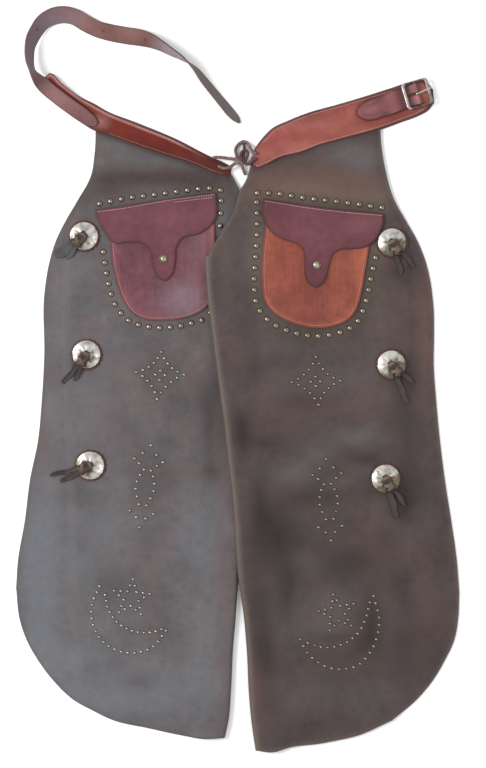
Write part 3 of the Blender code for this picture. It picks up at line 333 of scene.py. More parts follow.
LEG_ROWS, LOOP_STEPS = (38, 194), 12
LEG_MAIN = np.concatenate([np.linspace(0, 0.3, 32), np.linspace(0.3, 1, 46)[1:]])
LEG_WING = np.linspace(0, 1, 22)
LEG_FLAP = np.linspace(0, 1, 30)
LEG_CUT = {"left": ((0.72, 0.99), 0.56), "right": ((0.72, 1.011), 0.57)}
BELT_CUT = {"left": (0.036, 0.335), "right": (0.052, 0.31)}

DIAMOND_BOW, DIAMOND_SIDE = 0.22, 5  # how far a diamond's side bows in, nails along it
DIAMOND_CORE = 0.2  # reach of the four nails in its middle, a share of the diamond's
POCKET_RIMS, POCKET_CELL = (0.8, 2.2), 4  # rings inside a cut edge, and the net's cell
ROSETTE_RIMS, ROSETTE_CELL = (0.8, 2.5), 9
STRAP_ALONG, STRAP_ACROSS = 330, 17  # points along the strap and across it
CONCHO_SHARES = (1, .97, .93, .88, .82, .75, .68, .6, .5, .4, .3, .2, .1, 0)  # of its radius
CONCHO_RIM, CONCHO_STEPS = 0.9, 96  # thickness of its rim, steps round it
PETALS, PETAL_RISE, PETAL_END = 9, 0.22, 0.84  # their end is a share of the radius
BEAD_RING, BEAD_DEPTH = 0.86, 0.25  # the groove between petals and rim
SNAP_GROOVE = 5.0  # radius of the dark groove in a snap
BELT_ALONG = 130
BELT_LOWER_COLUMNS, BELT_UPPER_COLUMNS = np.linspace(0, 1, 8), np.linspace(0, 1, 7)[1:]

# Profiles as radius and height; those of studs and nails are shares of the radius, and their
# tips are measured down from the top.
SNAP_PROFILE = ((0, 0), (4.6, 0), (6.0, 0.15), (6.4, 0.7), (6.1, 1.2), (5.2, 1.3), (4.9, 1.1),
                (4.5, 1.3), (3.9, 2.1), (2.6, 2.75), (1.2, 2.98), (0, 3.0))
STUD_PROFILE = ((0, -0.6), (0.9, -0.6), (1, -0.1), (0.99, 0.4), (0.93, 0.95), (0.85, 1.5),
                (0.73, 2.0), (0.58, 2.45), (0.41, 2.8))
STUD_TIP = ((0.22, 0.12), (0.08, 0.02), (0, 0))
NAIL_PROFILE = ((0, -0.4), (0.9, -0.4), (1, 0), (0.96, 0.4), (0.86, 0.85), (0.7, 1.25),
                (0.48, 1.65))
NAIL_TIP = ((0.24, 0.1), (0, 0))
STITCH_LIFT = 0.1  # height of a stitch's middle above the leather

SWELL_START = 25  # distance from the leg's edge over which swells and creases begin
SWELLS = {  # x, y, half width, half height, height: where the leather stands a little higher
    "left": (
        (-150, 20, 60, 120, 0.8), (-110, -250, 70, 90, 0.7), (-180, 330, 60, 30, 0.7),
        (-250, -350, 50, 90, 0.6), (-60, -460, 50, 60, 0.8)),
    "right": (
        (140, 30, 70, 110, 0.8), (90, -230, 60, 110, 0.8), (150, 340, 60, 30, 0.7),
        (260, -300, 50, 110, 0.6), (110, -480, 70, 50, 0.8)),
}
BROWN = {  # worn redder or tan
    "left": (
        (-150, 320, 90, 16, 0.9), (-70, 322, 50, 14, 0.7), (-84, -152, 55, 6, 0.7),
        (-147, -290, 40, 40, 0.2), (-310, -113, 14, 60, 0.6), (-25, -250, 9, 130, 0.6),
        (-122, -424, 30, 30, 0.15), (-190, 13, 35, 30, 0.4), (-10, -40, 14, 90, 0.5),
        (-20, -480, 9, 90, 0.5), (-300, 150, 16, 60, 0.35), (-205, -60, 40, 26, 0.3),
        (-240, 60, 30, 40, 0.3), (-60, 20, 30, 40, 0.35), (-262, 245, 14, 30, 0.4),
        (-224, -100, 18, 16, 0.3), (-225, -80, 50, 60, 0.15)),
    "right": (
        (115, 314, 100, 34, 1.0), (190, 300, 45, 30, 0.8), (45, 300, 40, 30, 0.6),
        (300, 60, 12, 90, 0.9), (217, -278, 30, 60, 0.45), (300, -360, 22, 80, 0.5),
        (30, -480, 12, 90, 0.6), (101, -36, 60, 40, 0.4), (256, 120, 30, 60, 0.4),
        (178, -443, 60, 40, 0.35), (215, -30, 40, 50, 0.3), (245, 200, 24, 20, 0.7),
        (262, 52, 16, 20, 0.35)),
}
BLOOM_AND_HIGHLIGHT = {  # a cool bloom on the grain, and painted highlight along crease ridges
    "left": (
        (-156, 354, 60, 9, 0.35), (-316, -250, 36, 110, 1.0), (-220, -505, 110, 45, 0.9),
        (-312, -395, 40, 80, 0.8), (-93, -500, 75, 60, 0.58), (-220, -250, 60, 60, 0.55),
        (-74, -268, 45, 60, 0.55), (-287, 110, 22, 80, 0.5), (-190, 50, 50, 40, 0.3),
        (-84, 62, 30, 25, 0.1), (-120, -90, 60, 40, 0.15), (-60, -400, 40, 80, 0.4),
        (-255, 180, 22, 40, 0.4), (-240, -110, 60, 120, 0.35), (-60, -200, 40, 50, 0.35),
        (-250, 0, 60, 80, 0.25), (-200, -370, 60, 60, 0.35), (-232, -440, 50, 22, 0.5),
        (-300, -455, 40, 30, 0.4), (-300, -50, 18, 30, 0.5), (-330, -305, 14, 30, 0.45),
        (-326, -408, 16, 20, 0.4), (-249, -305, 20, 24, 0.4)),
    "right": (
        (184, 360, 24, 10, 0.5), (72, -16, 35, 30, 0.4), (198, -89, 44, 18, 0.8),
        (91, -150, 46, 22, 0.8), (139, -116, 40, 18, 0.6), (149, -365, 40, 45, 0.5),
        (139, -505, 90, 30, 0.2), (62, -375, 26, 50, 0.3), (217, 23, 30, 30, 0.3),
        (70, 80, 30, 40, 0.25), (240, -400, 40, 50, 0.15), (215, -520, 50, 30, 0.25),
        (185, 345, 46, 14, 0.25), (175, 364, 50, 20, 0.5), (20, 200, 20, 90, 0.4),
        (271, 120, 6, 90, 0.2), (270, -50, 6, 90, 0.17), (110, -405, 50, 18, 0.35),
        (210, 350, 30, 20, 0.3), (165, 0, 40, 26, 0.5), (100, -290, 40, 20, 0.4),
        (200, 350, 24, 30, 0.4)),
}
DARK_AND_SHADE = {  # oil and sweat, nearly black, and painted shade under the belt, by the right leg's turned edge and along creases
    "left": (
        (-130, 322, 100, 13, 0.75), (-45, 318, 44, 22, 0.75), (-42, -36, 14, 60, 0.45),
        (-181, -336, 45, 38, 0.35), (-132, 30, 40, 50, 0.34), (-147, -162, 36, 60, 0.3),
        (-210, 304, 34, 26, 0.6), (-249, 23, 40, 30, 0.3), (-40, -150, 20, 14, 0.5),
        (-255, -190, 50, 14, 0.3), (-10, 290, 14, 30, 0.4), (-160, 316, 90, 34, 0.3),
        (-44, -80, 15, 60, 0.6), (-60, -34, 24, 30, 0.3), (-274, 120, 5, 100, 0.28),
        (-270, -60, 5, 110, 0.26), (-255, -163, 26, 24, 0.4), (-158, -484, 28, 14, 0.45),
        (-70, 62, 16, 20, 0.3), (-108, -100, 24, 14, 0.3), (-150, 358, 40, 8, 0.3)),
    "right": (
        (8, -84, 18, 40, 1.0), (52, -249, 48, 60, 0.9), (33, -190, 14, 60, 0.5),
        (130, -188, 46, 17, 0.8), (207, -128, 34, 12, 0.7), (178, -290, 50, 34, 0.8),
        (81, -336, 22, 45, 0.7), (217, -394, 14, 45, 0.7), (265, -190, 24, 45, 0.7),
        (265, 3, 24, 40, 0.7), (258, 178, 22, 36, 0.6), (42, -424, 20, 60, 0.6),
        (149, -413, 46, 10, 0.5), (275, -100, 26, 60, 0.5), (60, 350, 40, 8, 0.2),
        (120, 60, 40, 16, 0.2), (20, 90, 20, 60, 0.4), (240, 330, 18, 40, 0.5),
        (110, -560, 60, 14, 0.3), (100, -34, 40, 18, 0.5), (165, -116, 30, 14, 0.3),
        (165, -455, 50, 34, 0.4), (275, -400, 50, 70, 0.4), (36, -430, 24, 50, 0.3),
        (245, -440, 50, 40, 0.3), (40, -100, 22, 10, 0.5), (202, -400, 14, 40, 0.4),
        (262, -195, 24, 24, 0.4), (211, -177, 24, 18, 0.35), (134, -152, 22, 16, 0.35),
        (57, -522, 22, 26, 0.4), (30, -356, 14, 24, 0.35), (185, -75, 20, 14, 0.35),
        (236, -254, 20, 20, 0.35), (185, -433, 20, 14, 0.3), (28, 334, 14, 10, 0.3),
        (211, -356, 16, 20, 0.3), (85, -80, 50, 50, 0.14)),
}
LEG_STAINS = {  # redder worn leather, cool bloom and painted highlight, oiled dark and painted shade, stain by the studs, rubbed edge and painted highlight
    "left": ((0.09, 0.05, 0.045, 1), (0.112, 0.118, 0.132, 1), (0.028, 0.018, 0.018, 1),
             (0.046, 0.032, 0.019, 1), (0.07, 0.05, 0.045, 1)),
    "right": ((0.1, 0.053, 0.041, 1), (0.088, 0.079, 0.081, 1), (0.013, 0.009, 0.008, 1),
              (0.06, 0.046, 0.03, 1), (0.12, 0.09, 0.073, 1)),
}
LEG_CLOUDS = {  # a redder and a cooler tone that drift through the leather
    "left": ((0.095, 0.06, 0.055, 1), (0.062, 0.068, 0.07, 1)),
    "right": ((0.068, 0.04, 0.035, 1), (0.04, 0.041, 0.038, 1)),
}
LEG_RUBBED = {  # where the grain is rubbed light
    "left": ((-14, 215, 10, 60, 0.35), (-140, 296, 90, 10, 0.3)),
    "right": (
        (95, 303, 60, 12, 0.75), (190, 292, 50, 10, 0.5), (34, 210, 12, 70, 0.6),
        (222, 215, 12, 30, 0.6), (130, 50, 60, 14, 0.3), (220, 110, 16, 50, 0.3),
        (-20, 185, 14, 50, 0.45), (262, 206, 14, 20, 0.35), (225, 300, 16, 40, 0.35)),
}
SHADE_UNDER_BELT = {"left": 1.15, "right": 0.5}  # how strong the painted shadow on the leg is along the belt's lower edge
TURN_RUB_AND_HIGHLIGHT = {"left": 0.5, "right": 0.85}  # how much rubbing and painted highlight lie along the turned inner edge
FOLDS = {  # creases and soft ridges: half width, height, then the line
    "left": ((7, -1.0, ((-180, -128), (-120, -150), (-70, -153), (-20, -148))),
             (12, 1.2, ((-190, -110), (-120, -134), (-60, -138))),
             (10, -0.9, ((-205, 330), (-140, 326), (-80, 318), (-30, 312))),
             (9, 1.0, ((-60, 40), (-40, -20), (-30, -100))),
             (14, 0.8, ((-290, -150), (-280, -260), (-290, -360)))),
    "right": ((13, 2.2, ((60, -178), (100, -152), (150, -122), (205, -92), (235, -70))),
              (10, -1.6, ((90, -196), (135, -172), (190, -140), (230, -118))),
              (9, -1.4, ((2, -40), (10, -80), (16, -120), (30, -170))),
              (16, 1.4, ((34, -230), (60, -300), (66, -380))),
              (10, -1.2, ((70, -250), (88, -320), (84, -380))),
              (12, -1.2, ((140, -270), (180, -300), (215, -350), (228, -410))),
              (12, 1.2, ((30, 336), (90, 330), (160, 320), (215, 330))),
              (9, -1.0, ((20, 312), (80, 304), (140, 296)))),
}
POCKET_RUBBED = {"left": (0.25, 0.085, 0.085, 1), "right": (0.36, 0.1, 0.045, 1)}
POCKET_BLOOM = {"left": (0.17, 0.115, 0.14, 1), "right": (0.13, 0.035, 0.035, 1)}
POCKET_CREASED = {"left": 0.4, "right": 0.75}
POCKET_CLOUD = {
    "left": ((-97, 126, 34, 28, 0.9), (-76, 128, 24, 26, 0.6), (-62, 205, 22, 40, 0.4)),
    "right": (
        (90, 120, 30, 26, 0.15), (124, 100, 50, 12, 0.2), (128, 130, 8, 20, 0.6),
        (180, 180, 16, 50, 0.3)),
}
POCKET_DEEP = {"left": (0.09, 0.03, 0.03, 1), "right": (0.16, 0.035, 0.02, 1)}
POCKET_PALE = {
    "left": (
        (-196, 205, 12, 40, 0.15), (-48, 215, 12, 50, 0.6), (-60, 150, 20, 30, 0.25),
        (-150, 180, 16, 16, 0.3)),
    "right": (
        (54, 215, 10, 60, 0.5), (198, 195, 18, 50, 0.9), (170, 150, 30, 40, 0.25),
        (75, 150, 20, 30, 0.2), (90, 108, 24, 12, 0.3), (185, 104, 14, 14, 0.35),
        (160, 180, 14, 16, 0.35), (83, 206, 16, 14, 0.3)),
}
FLAP_PALE = {
    "left": ((-150, 256, 40, 12, 0.2), (-70, 257, 24, 14, 0.3)),
    "right": ((190, 248, 45, 18, 0.8), (140, 225, 40, 14, 0.3), (70, 255, 30, 20, 0.2)),
}
FLAP_STITCHES = {
    "left": ([(-225, 267), (-190, 271), (-150, 278), (-110, 285), (-70, 290), (-38, 294)],
             [(-101, 282), (-70, 286), (-40, 289.5)]),
    "right": ([(42, 283), (70, 279), (110, 273), (150, 268), (190, 264), (229, 261)],),
}
BELT_RUBBED = {"left": (0.5, 0.27, 0.25, 1), "right": (0.5, 0.2, 0.16, 1)}
BELT_DEEP_AND_SHADOW = {"left": (0.05, 0.016, 0.012, 1), "right": (0.09, 0.02, 0.014, 1)}
BELT_PALE = {
    "left": ((-222, 410, 16, 12, 0.5),),
    "right": (
        (120, 405, 70, 14, 0.35), (40, 356, 26, 16, 0.3), (200, 425, 40, 10, 0.3),
        (290, 455, 24, 22, 0.6), (83, 366, 22, 12, 0.35), (112, 370, 20, 12, 0.35),
        (211, 392, 26, 9, 0.4)),
}
BELT_DARK_AND_SHADOW = {  # where sweat has darkened it, and painted shadow along the strap's and the tab's edges
    "left": (
        (-46, 344, 50, 16, 0.9), (-120, 366, 70, 7, 0.35), (-262, 446, 40, 6, 0.2),
        (-14, 333, 16, 10, 0.6)),
    "right": ((245, 424, 40, 7, 0.3),),
}
BELT_SHINE = {"left": 0.1, "right": 0.25}
BELT_BAND = {"left": 1.0, "right": 0.15}  # how pale its upper slope is rubbed
BELT_SHADE = {"left": 0.65, "right": 0}  # how much darker it is along its lower edge
BELT_SEAMS = {  # from x to x, along the lower and the upper edge
    "left": ((-208, -20), None), "right": ((28, 297), (38, 250)),
}
SEAM_IN, POCKET_SEAM_IN = 2.6, 4.2  # distance of a seam from the edge
# painted shadow on the left belt along the strap's upper edge
STRAP_SHADOW_LINE = ((-312, 484), (-293, 470.5), (-265, 450), (-243, 431.5), (-229, 420), (-222, 409))
STRAP_WEAR = {
    "rubbed": ((-285, 448, 44, 26, 0.8), (-330, 505, 10, 12, 0.4)),
    "dark": ((-330, 520, 22, 56, 0.95), (-308, 570, 30, 22, 0.95), (-262, 578, 22, 12, 0.4),
             (-110, 522, 20, 14, 0.5)),
    "warm": ((-238, 570, 24, 12, 0.7), (-205, 555, 26, 12, 0.45), (-170, 548, 20, 8, 0.5)),
    "ash": ((-124, 535, 14, 14, 0.3), (-110, 527, 12, 14, 0.6), (-93, 517, 13, 14, 0.8),
            (-300, 570, 60, 40, 0.25)),
}
# the strap's holes are not cut: they are painted near black as their shade
STRAP_HOLES = ((-320.5, 557), (-216, 556), (-147, 542.5))
THONG_STAINS = {  # worn tan and painted highlight at the knot, ashen along the ends
    "left": ((0.14, 0.09, 0.062, 1), (0.075, 0.08, 0.082, 1)),
    "right": ((0.2, 0.14, 0.095, 1), (0.085, 0.06, 0.058, 1)),
}

# ---------------------------------------------------------------- sizes and colours

def linear(hex_colour):
    values = [int(hex_colour[i:i + 2], 16) / 255 for i in (1, 3, 5)]
    return [v / 12.92 if v <= 0.04045 else ((v + 0.055) / 1.055) ** 2.4 for v in values]


def length(name, description, millimetres):
    return FloatProperty(name=name, description=description, default=millimetres * MM,
                         unit="LENGTH", subtype="DISTANCE")


def colour(name, description, hex_colour):
    return FloatVectorProperty(name=name, description=description, subtype="COLOR", min=0,
                               max=1, default=linear(hex_colour))


class ChapsSizes(PropertyGroup):
    leg: length("Leg leather", "Thickness of the legs' leather", 2.6)
    belt: length("Belt leather", "Thickness of each of the belt's two layers", 2.4)
    strap: length("Strap leather", "Thickness of the strap", 2.6)
    pocket: length("Pocket leather", "Thickness of the pockets and flaps", 2.0)
    rosette: length("Rosette leather", "Thickness of the leathers under the conchos", 2.0)
    chape: length("Buckle leather", "Thickness of the leather round the buckle's bar", 1.8)
    thong: length("Thong leather", "Thickness of the tied thongs", 2.0)
    lace: length("Lace width", "Width of the lace between the belts", 5.2)
    stud: length("Stud width", "Width of a pocket stud", 9.5)
    stud_height: length("Stud height", "Height of a pocket stud", 3.2)
    nail: length("Nail width", "Width of a small nail", 5.8)
    nail_height: length("Nail height", "Height of a small nail", 2.0)
    concho: length("Concho width", "Width of a concho", 44.4)
    concho_height: length("Concho height", "Height of a concho's dome", 5.0)
    stitch: length("Stitch length", "Length of one stitch", 3.0)
    pitch: length("Stitch spacing", "From one stitch to the next", 3.8)
    thread: length("Thread width", "Width of the sewing thread", 1.1)


class ChapsColours(PropertyGroup):
    leg_left: colour("Left leg", "Oiled leather of the left leg", "#4c4647")
    leg_right: colour("Right leg", "Oiled leather of the right leg", "#3d3231")
    belt_left: colour("Left belt", "Leather of the left belt", "#5c211a")
    belt_right: colour("Right belt", "Leather of the right belt", "#743630")
    pocket_left: colour("Left pocket", "Leather of the left pocket", "#542d34")
    pocket_right: colour("Right pocket", "Leather of the right pocket", "#70352a")
    flap: colour("Pocket flaps", "Leather of both pocket flaps", "#562c33")
    strap: colour("Strap", "Leather of the strap", "#623f3e")
    chape: colour("Buckle leather", "Leather round the buckle's bar", "#5a3134")
    lining: colour("Lining", "Leather under the belts", "#573b40")
    thong: colour("Thongs", "Leather of the tied thongs", "#231a18")
    lace: colour("Lace", "Leather of the lace", "#5a4440")
    # the lace's own leather made darker as painted shade, for the strands inside its loop
    lace_shaded: colour("Inner lace", "Leather of the lace inside its loop", "#47282c")
    rosette: colour("Rosettes", "Leather under the conchos", "#47241d")
    flesh: colour("Flesh side", "The rough side of the leather", "#5a5351")
    thread: colour("Thread", "Waxed linen thread", "#b3968a")
    seam: colour("Pocket thread", "Darkened thread round the pockets", "#b3857a")
    dark_thread: colour("Left belt's thread", "Thread darkened by oil", "#8f6a60")
    snap: colour("Snaps", "Brass of the pocket snaps", "#b0a78e")
    brass: colour("Studs", "Old brass of the studs", "#80776a")
    nails: colour("Nails", "Dull metal of the small nails", "#7d766b")
    plated: colour("Left nails", "Worn nickel of the left leg's small nails", "#8f8a84")
    silver: colour("Conchos", "Silver of the conchos", "#e3e1db")
    steel: colour("Buckle", "Nickel of the buckle", "#bdb9b6")


def mm(name):
    return getattr(bpy.context.scene.chaps_sizes, name) / MM


def tint(name):
    return tuple(getattr(bpy.context.scene.chaps_colours, name))


# ---------------------------------------------------------------- lines and surfaces

def ease(t):
    """From 0 to 1, slowly at both ends."""
    t = np.clip(t, 0.0, 1.0)
    return t * t * (3 - 2 * t)


def bell(t):
    """1 at 0, and nothing far from it."""
    return np.exp(-np.square(t))


def run_along(points):
    """Length of a line up to each of its points."""
    return np.concatenate([[0], np.cumsum(np.linalg.norm(np.diff(points, axis=0), axis=1))])


def smooth(points, where):
    """Points of a smooth line through some points, at fractions of its length."""
    p = np.array(points, float)
    t = run_along(p[:, :2])
    slope = np.gradient(p, t, axis=0)
    fine = np.linspace(0, t[-1], 40 * len(p))
    k = np.clip(np.searchsorted(t, fine, side="right") - 1, 0, len(t) - 2)
    h = (t[k + 1] - t[k])[:, None]
    s = (fine - t[k])[:, None] / h
    curve = ((1 + 2 * s) * (1 - s) ** 2 * p[k] + s * (1 - s) ** 2 * h * slope[k]
             + s * s * (3 - 2 * s) * p[k + 1] + s * s * (s - 1) * h * slope[k + 1])
    run = run_along(curve[:, :3])
    at = np.array(where) * run[-1]
    return np.stack([np.interp(at, run, curve[:, i]) for i in range(p.shape[1])], axis=1)


def evenly(points, count):
    return smooth(points, np.linspace(0, 1, count))


def outline(*runs):
    """A closed outline from smooth runs that meet at corners: (count, points) for each run."""
    return np.concatenate([evenly(points, count)[:-1] for count, points in runs])


def patch(top, bottom, start, end, columns, late=1):
    """A grid of points, rows by columns, that fills four lines which meet at their ends.

    late above 1 keeps the bottom line's bend out of the rows that are far from it."""
    u = np.array(columns)[None, :, None]
    v = (np.linspace(0, 1, len(start)) ** late)[:, None, None]
    rim = (1 - v) * top[None] + v * bottom[None] + (1 - u) * start[:, None] + u * end[:, None]
    corners = ((1 - v) * ((1 - u) * top[0] + u * top[-1])
               + v * ((1 - u) * bottom[0] + u * bottom[-1]))
    return rim - corners


def past_left_edge(points):
    """Distance from the left-hand leg's inner edge, across the page."""
    left_edge = sorted((p[1], p[0]) for p in LEFT.cut[:-1] + LEFT.fold)
    return points[..., 0] - np.interp(points[..., 1], *zip(*left_edge))


def ride(points):
    """Height of the right-hand leg's underside above the ground."""
    y = points[..., 1]
    heights, over, inside = zip(*reversed(RIDE_TABLE))
    past = past_left_edge(points)
    crest, low = np.interp(y, heights, over), np.interp(y, heights, inside)
    return np.where(past > 0, crest * (1 - ease(past / RIDE_OUTSIDE)),
                    crest + (low - crest) * ease((-past - RIDE_CREST) / RIDE_INSIDE))


def distance_to(points, line):
    """Distance of each point from a line through some points, in the plane of the ground."""
    line = np.array(line, float)[:, :2]
    best = np.full(len(points), np.inf)
    for a, b in zip(line, line[1:]):
        ab = b - a
        t = np.clip(((points[:, :2] - a) @ ab) / max(ab @ ab, 1e-9), 0, 1)
        near = a + t[:, None] * ab
        best = np.minimum(best, np.linalg.norm(points[:, :2] - near, axis=1))
    return best


def nearest(points, lines, count=60):
    """Distance of each point from the nearest of some smooth lines."""
    return np.min([distance_to(points, evenly(line, count)) for line in lines], axis=0)


def away_from(points, x, y):
    return np.hypot(points[:, 0] - x, points[:, 1] - y)


def beside(points, distance, span):
    """A line some way to the left of another one, between two values of x."""
    line = evenly(points, 160)
    ahead = np.gradient(line, axis=0)
    ahead /= np.linalg.norm(ahead, axis=1)[:, None]
    line = line + distance * np.column_stack([-ahead[:, 1], ahead[:, 0]])
    return line[(line[:, 0] > span[0]) & (line[:, 0] < span[1])]


def soft_spots(points, spots):
    """Sum of soft spots: x, y, half width, half height, strength of each."""
    return sum(strength * bell(np.hypot((points[:, 0] - x) / wide, (points[:, 1] - y) / high))
               for x, y, wide, high, strength in spots)


# ---------------------------------------------------------------- pieces

def feed(tree, made, inputs):
    """Give a node's sockets constants or other nodes' outputs."""
    for socket, value in inputs.items():
        if isinstance(value, bpy.types.NodeSocket):
            tree.links.new(value, made.inputs[socket])
        else:
            made.inputs[socket].default_value = value


def node(tree, kind, inputs, out=0, **settings):
    """Add a shader node with its settings and inputs, and give one of its outputs."""
    made = tree.nodes.new("ShaderNode" + kind)
    for name, value in settings.items():
        setattr(made, name, value)
    feed(tree, made, inputs)
    return made.outputs[out]


def new_material(name):
    """A material, its nodes, its shader and the place on the object."""
    material = bpy.data.materials.new(name)
    material.use_nodes = True
    tree = material.node_tree
    return (material, tree, tree.nodes["Principled BSDF"],
            node(tree, "TexCoord", {}, "Object"))


def shade(base, factor=1, more=0):
    """A colour made darker or lighter, for a shader's socket."""
    return tuple(min(1, c * factor + more) for c in base) + (1,)


def mesh_of(bm, name="part"):
    """A mesh from a bmesh that is used up."""
    mesh = bpy.data.meshes.new(name)
    bm.to_mesh(mesh)
    bm.free()
    return mesh


def coordinates(bm):
    return np.array([v.co for v in bm.verts])


def piece(name, bm, materials, slot, cad="", body="chaps", smooth_angle=40, **marks):
    """A finished piece from a bmesh in millimetres, riding on a body of the frame.

    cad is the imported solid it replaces. Each mark is one number for each of the piece's own
    points, for its material to read."""
    bmesh.ops.scale(bm, vec=(MM, MM, MM), verts=bm.verts)
    mesh = mesh_of(bm, name)
    mesh.shade_smooth()
    mesh.set_sharp_from_angle(angle=radians(smooth_angle))
    obj = bpy.data.objects.new(name, mesh)
    bpy.context.collection.objects.link(obj)
    for material in materials:
        mesh.materials.append(material)
    for mark, values in marks.items():
        layer = mesh.attributes.new(mark, "FLOAT", "POINT")
        layer.data.foreach_set("value", np.clip(np.array(values, np.float32), 0, 1))
    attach(obj, body)
    if cad:
        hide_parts(cad)
    return obj


def leather_piece(cad, bm, looks, slot, thickness, rounding, smooth_angle=40, marks=None,
                  **sheet):
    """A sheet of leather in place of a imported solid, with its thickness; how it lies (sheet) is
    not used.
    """
    obj = piece(cad + "_leather", bm, looks, slot, cad, smooth_angle=smooth_angle,
                **(marks or {}))
    if thickness:
        wall = obj.modifiers.new("thickness", "SOLIDIFY")
        wall.thickness, wall.offset, wall.use_even_offset = thickness * MM, 0, False
        wall.material_offset, wall.material_offset_rim = 1, 2
        edge = obj.modifiers.new("edge", "BEVEL")
        edge.width, edge.segments = rounding * MM, 2
        edge.limit_method, edge.angle_limit = "ANGLE", radians(60)


def lay_grid(bm, rows):
    """A net of faces whose rows of points run down the page."""
    rows = np.asarray(rows, float)
    down, across = rows.shape[0] - 1, rows.shape[1] - 1
    for v in bmesh.ops.create_grid(bm, x_segments=across, y_segments=down, size=1)["verts"]:
        v.co = rows[round((1 - v.co.y) / 2 * down), round((v.co.x + 1) / 2 * across)]


def face_up(bm):
    """Turn a sheet's grain side up."""
    bmesh.ops.recalc_face_normals(bm, faces=bm.faces)
    if sum(f.normal.z * f.calc_area() for f in bm.faces) < 0:
        bmesh.ops.reverse_faces(bm, faces=bm.faces)


def cut_shape(points, rims, cell):
    """A flat shape with rings at some distances inside its edge, cut into a net of cells."""
    bm = bmesh.new()
    face = bm.faces.new([bm.verts.new((x, y, 0)) for x, y in points])
    face_up(bm)
    for last, inside in zip((0,) + rims, rims):
        bmesh.ops.inset_region(bm, faces=[face], thickness=inside - last, use_boundary=True,
                               use_even_offset=True)
    low, high = np.min(points, axis=0), np.max(points, axis=0)
    for axis, direction in enumerate(((1, 0, 0), (0, 1, 0))):
        for at in np.arange(low[axis] + cell / 2, high[axis], cell):
            bmesh.ops.bisect_plane(bm, geom=bm.verts[:] + bm.edges[:] + bm.faces[:],
                                   plane_co=Vector(direction) * at, plane_no=direction)
    bmesh.ops.remove_doubles(bm, verts=bm.verts, dist=cell * 0.12)
    return bm


def scatter(part, places):
    """Copies of a small shape at many places, as one shape."""
    template = mesh_of(part)
    bm = bmesh.new()
    for place in places:
        start = len(bm.verts)
        bm.from_mesh(template)
        bm.verts.ensure_lookup_table()
        bmesh.ops.transform(bm, matrix=place, verts=bm.verts[start:])
    bpy.data.meshes.remove(template)
    return bm


def turned(profile, segments):
    """A round shape in a bmesh, from a profile of (radius, height)."""
    bm = bmesh.new()
    verts = [bm.verts.new((r, 0, z)) for r, z in profile]
    for a, b in zip(verts, verts[1:]):
        bm.edges.new((a, b))
    bmesh.ops.spin(bm, geom=bm.verts[:] + bm.edges[:], cent=(0, 0, 0), axis=(0, 0, 1),
                   angle=2 * pi, steps=segments, use_merge=True)
    bmesh.ops.remove_doubles(bm, verts=bm.verts, dist=0.005)
    bmesh.ops.recalc_face_normals(bm, faces=bm.faces)
    return bm


def close(bm):
    """Close a shape's open ends."""
    bmesh.ops.holes_fill(bm, edges=[e for e in bm.edges if e.is_boundary], sides=0)
    bmesh.ops.recalc_face_normals(bm, faces=bm.faces)
    return bm


def tube(path, half_width, half_height, sides=12, ends=0.5):
    """A closed cord along a path, of an oval section, a little slimmer at its two ends."""
    path = np.asarray(path, float)
    ahead = np.gradient(path, axis=0)
    ahead /= np.linalg.norm(ahead, axis=1)[:, None]
    side = np.cross(ahead, (0, 0, 1))
    side /= np.maximum(np.linalg.norm(side, axis=1), 1e-6)[:, None]
    up = np.cross(side, ahead)
    angles = np.linspace(0, 2 * pi, sides + 1)[:, None]
    slim = np.ones((len(path), 1, 1))
    slim[[0, -1]] = ends
    bm = bmesh.new()
    lay_grid(bm, path[:, None] + slim * (side[:, None] * np.cos(angles) * half_width
                                         + up[:, None] * np.sin(angles) * half_height))
    bmesh.ops.remove_doubles(bm, verts=bm.verts, dist=0.02)
    return close(bm)


def surface_tree(points):
    """A surface for finding heights on it, from a grid of points."""
    bm = bmesh.new()
    lay_grid(bm, points)
    bmesh.ops.triangulate(bm, faces=bm.faces)
    tree = BVHTree.FromBMesh(bm)
    bm.free()
    return tree


def on_surface(tree, x, y, above=0.0):
    """The point some way above a surface at (x, y), and the surface's normal there."""
    hit, normal, _, _ = tree.ray_cast(Vector((x, y, 200)), Vector((0, 0, -1)))
    if hit is None:
        hit, normal, _, _ = tree.find_nearest(Vector((x, y, 8)))
    if normal.z < 0:
        normal = -normal
    return hit + normal * above, normal


def standing(place, normal):
    """The transform that stands a shape on a surface."""
    return Matrix.Translation(place) @ normal.to_track_quat("Z", "Y").to_matrix().to_4x4()


def stitch_places(line, surface):
    """Where each stitch of a seam goes: surface gives the place and the normal at (x, y)."""
    line = np.array(line, float)[:, :2]
    run = run_along(line)
    for at in np.arange(mm("pitch") / 2, run[-1], mm("pitch")):
        here, after, before = (Vector([np.interp(at + step, run, line[:, i]) for i in (0, 1)])
                               for step in (0, 0.5, -0.5))
        place, normal = surface(*here)
        along = (after - before).to_3d()
        along = (along - normal * along.dot(normal)).normalized()
        turn = Matrix((along, normal.cross(along), normal)).transposed().to_4x4()
        yield (Matrix.Translation(place) @ turn
               @ Matrix.Diagonal((mm("stitch") / 2, mm("thread") / 2, mm("thread") * 0.36, 1)))


def sew(name, places, material):
    """A row of stitches as one piece."""
    bead = bmesh.new()
    bmesh.ops.create_icosphere(bead, subdivisions=2, radius=1)
    piece(name, scatter(bead, places), [material], "stitching", smooth_angle=180)


# ---------------------------------------------------------------- finishes

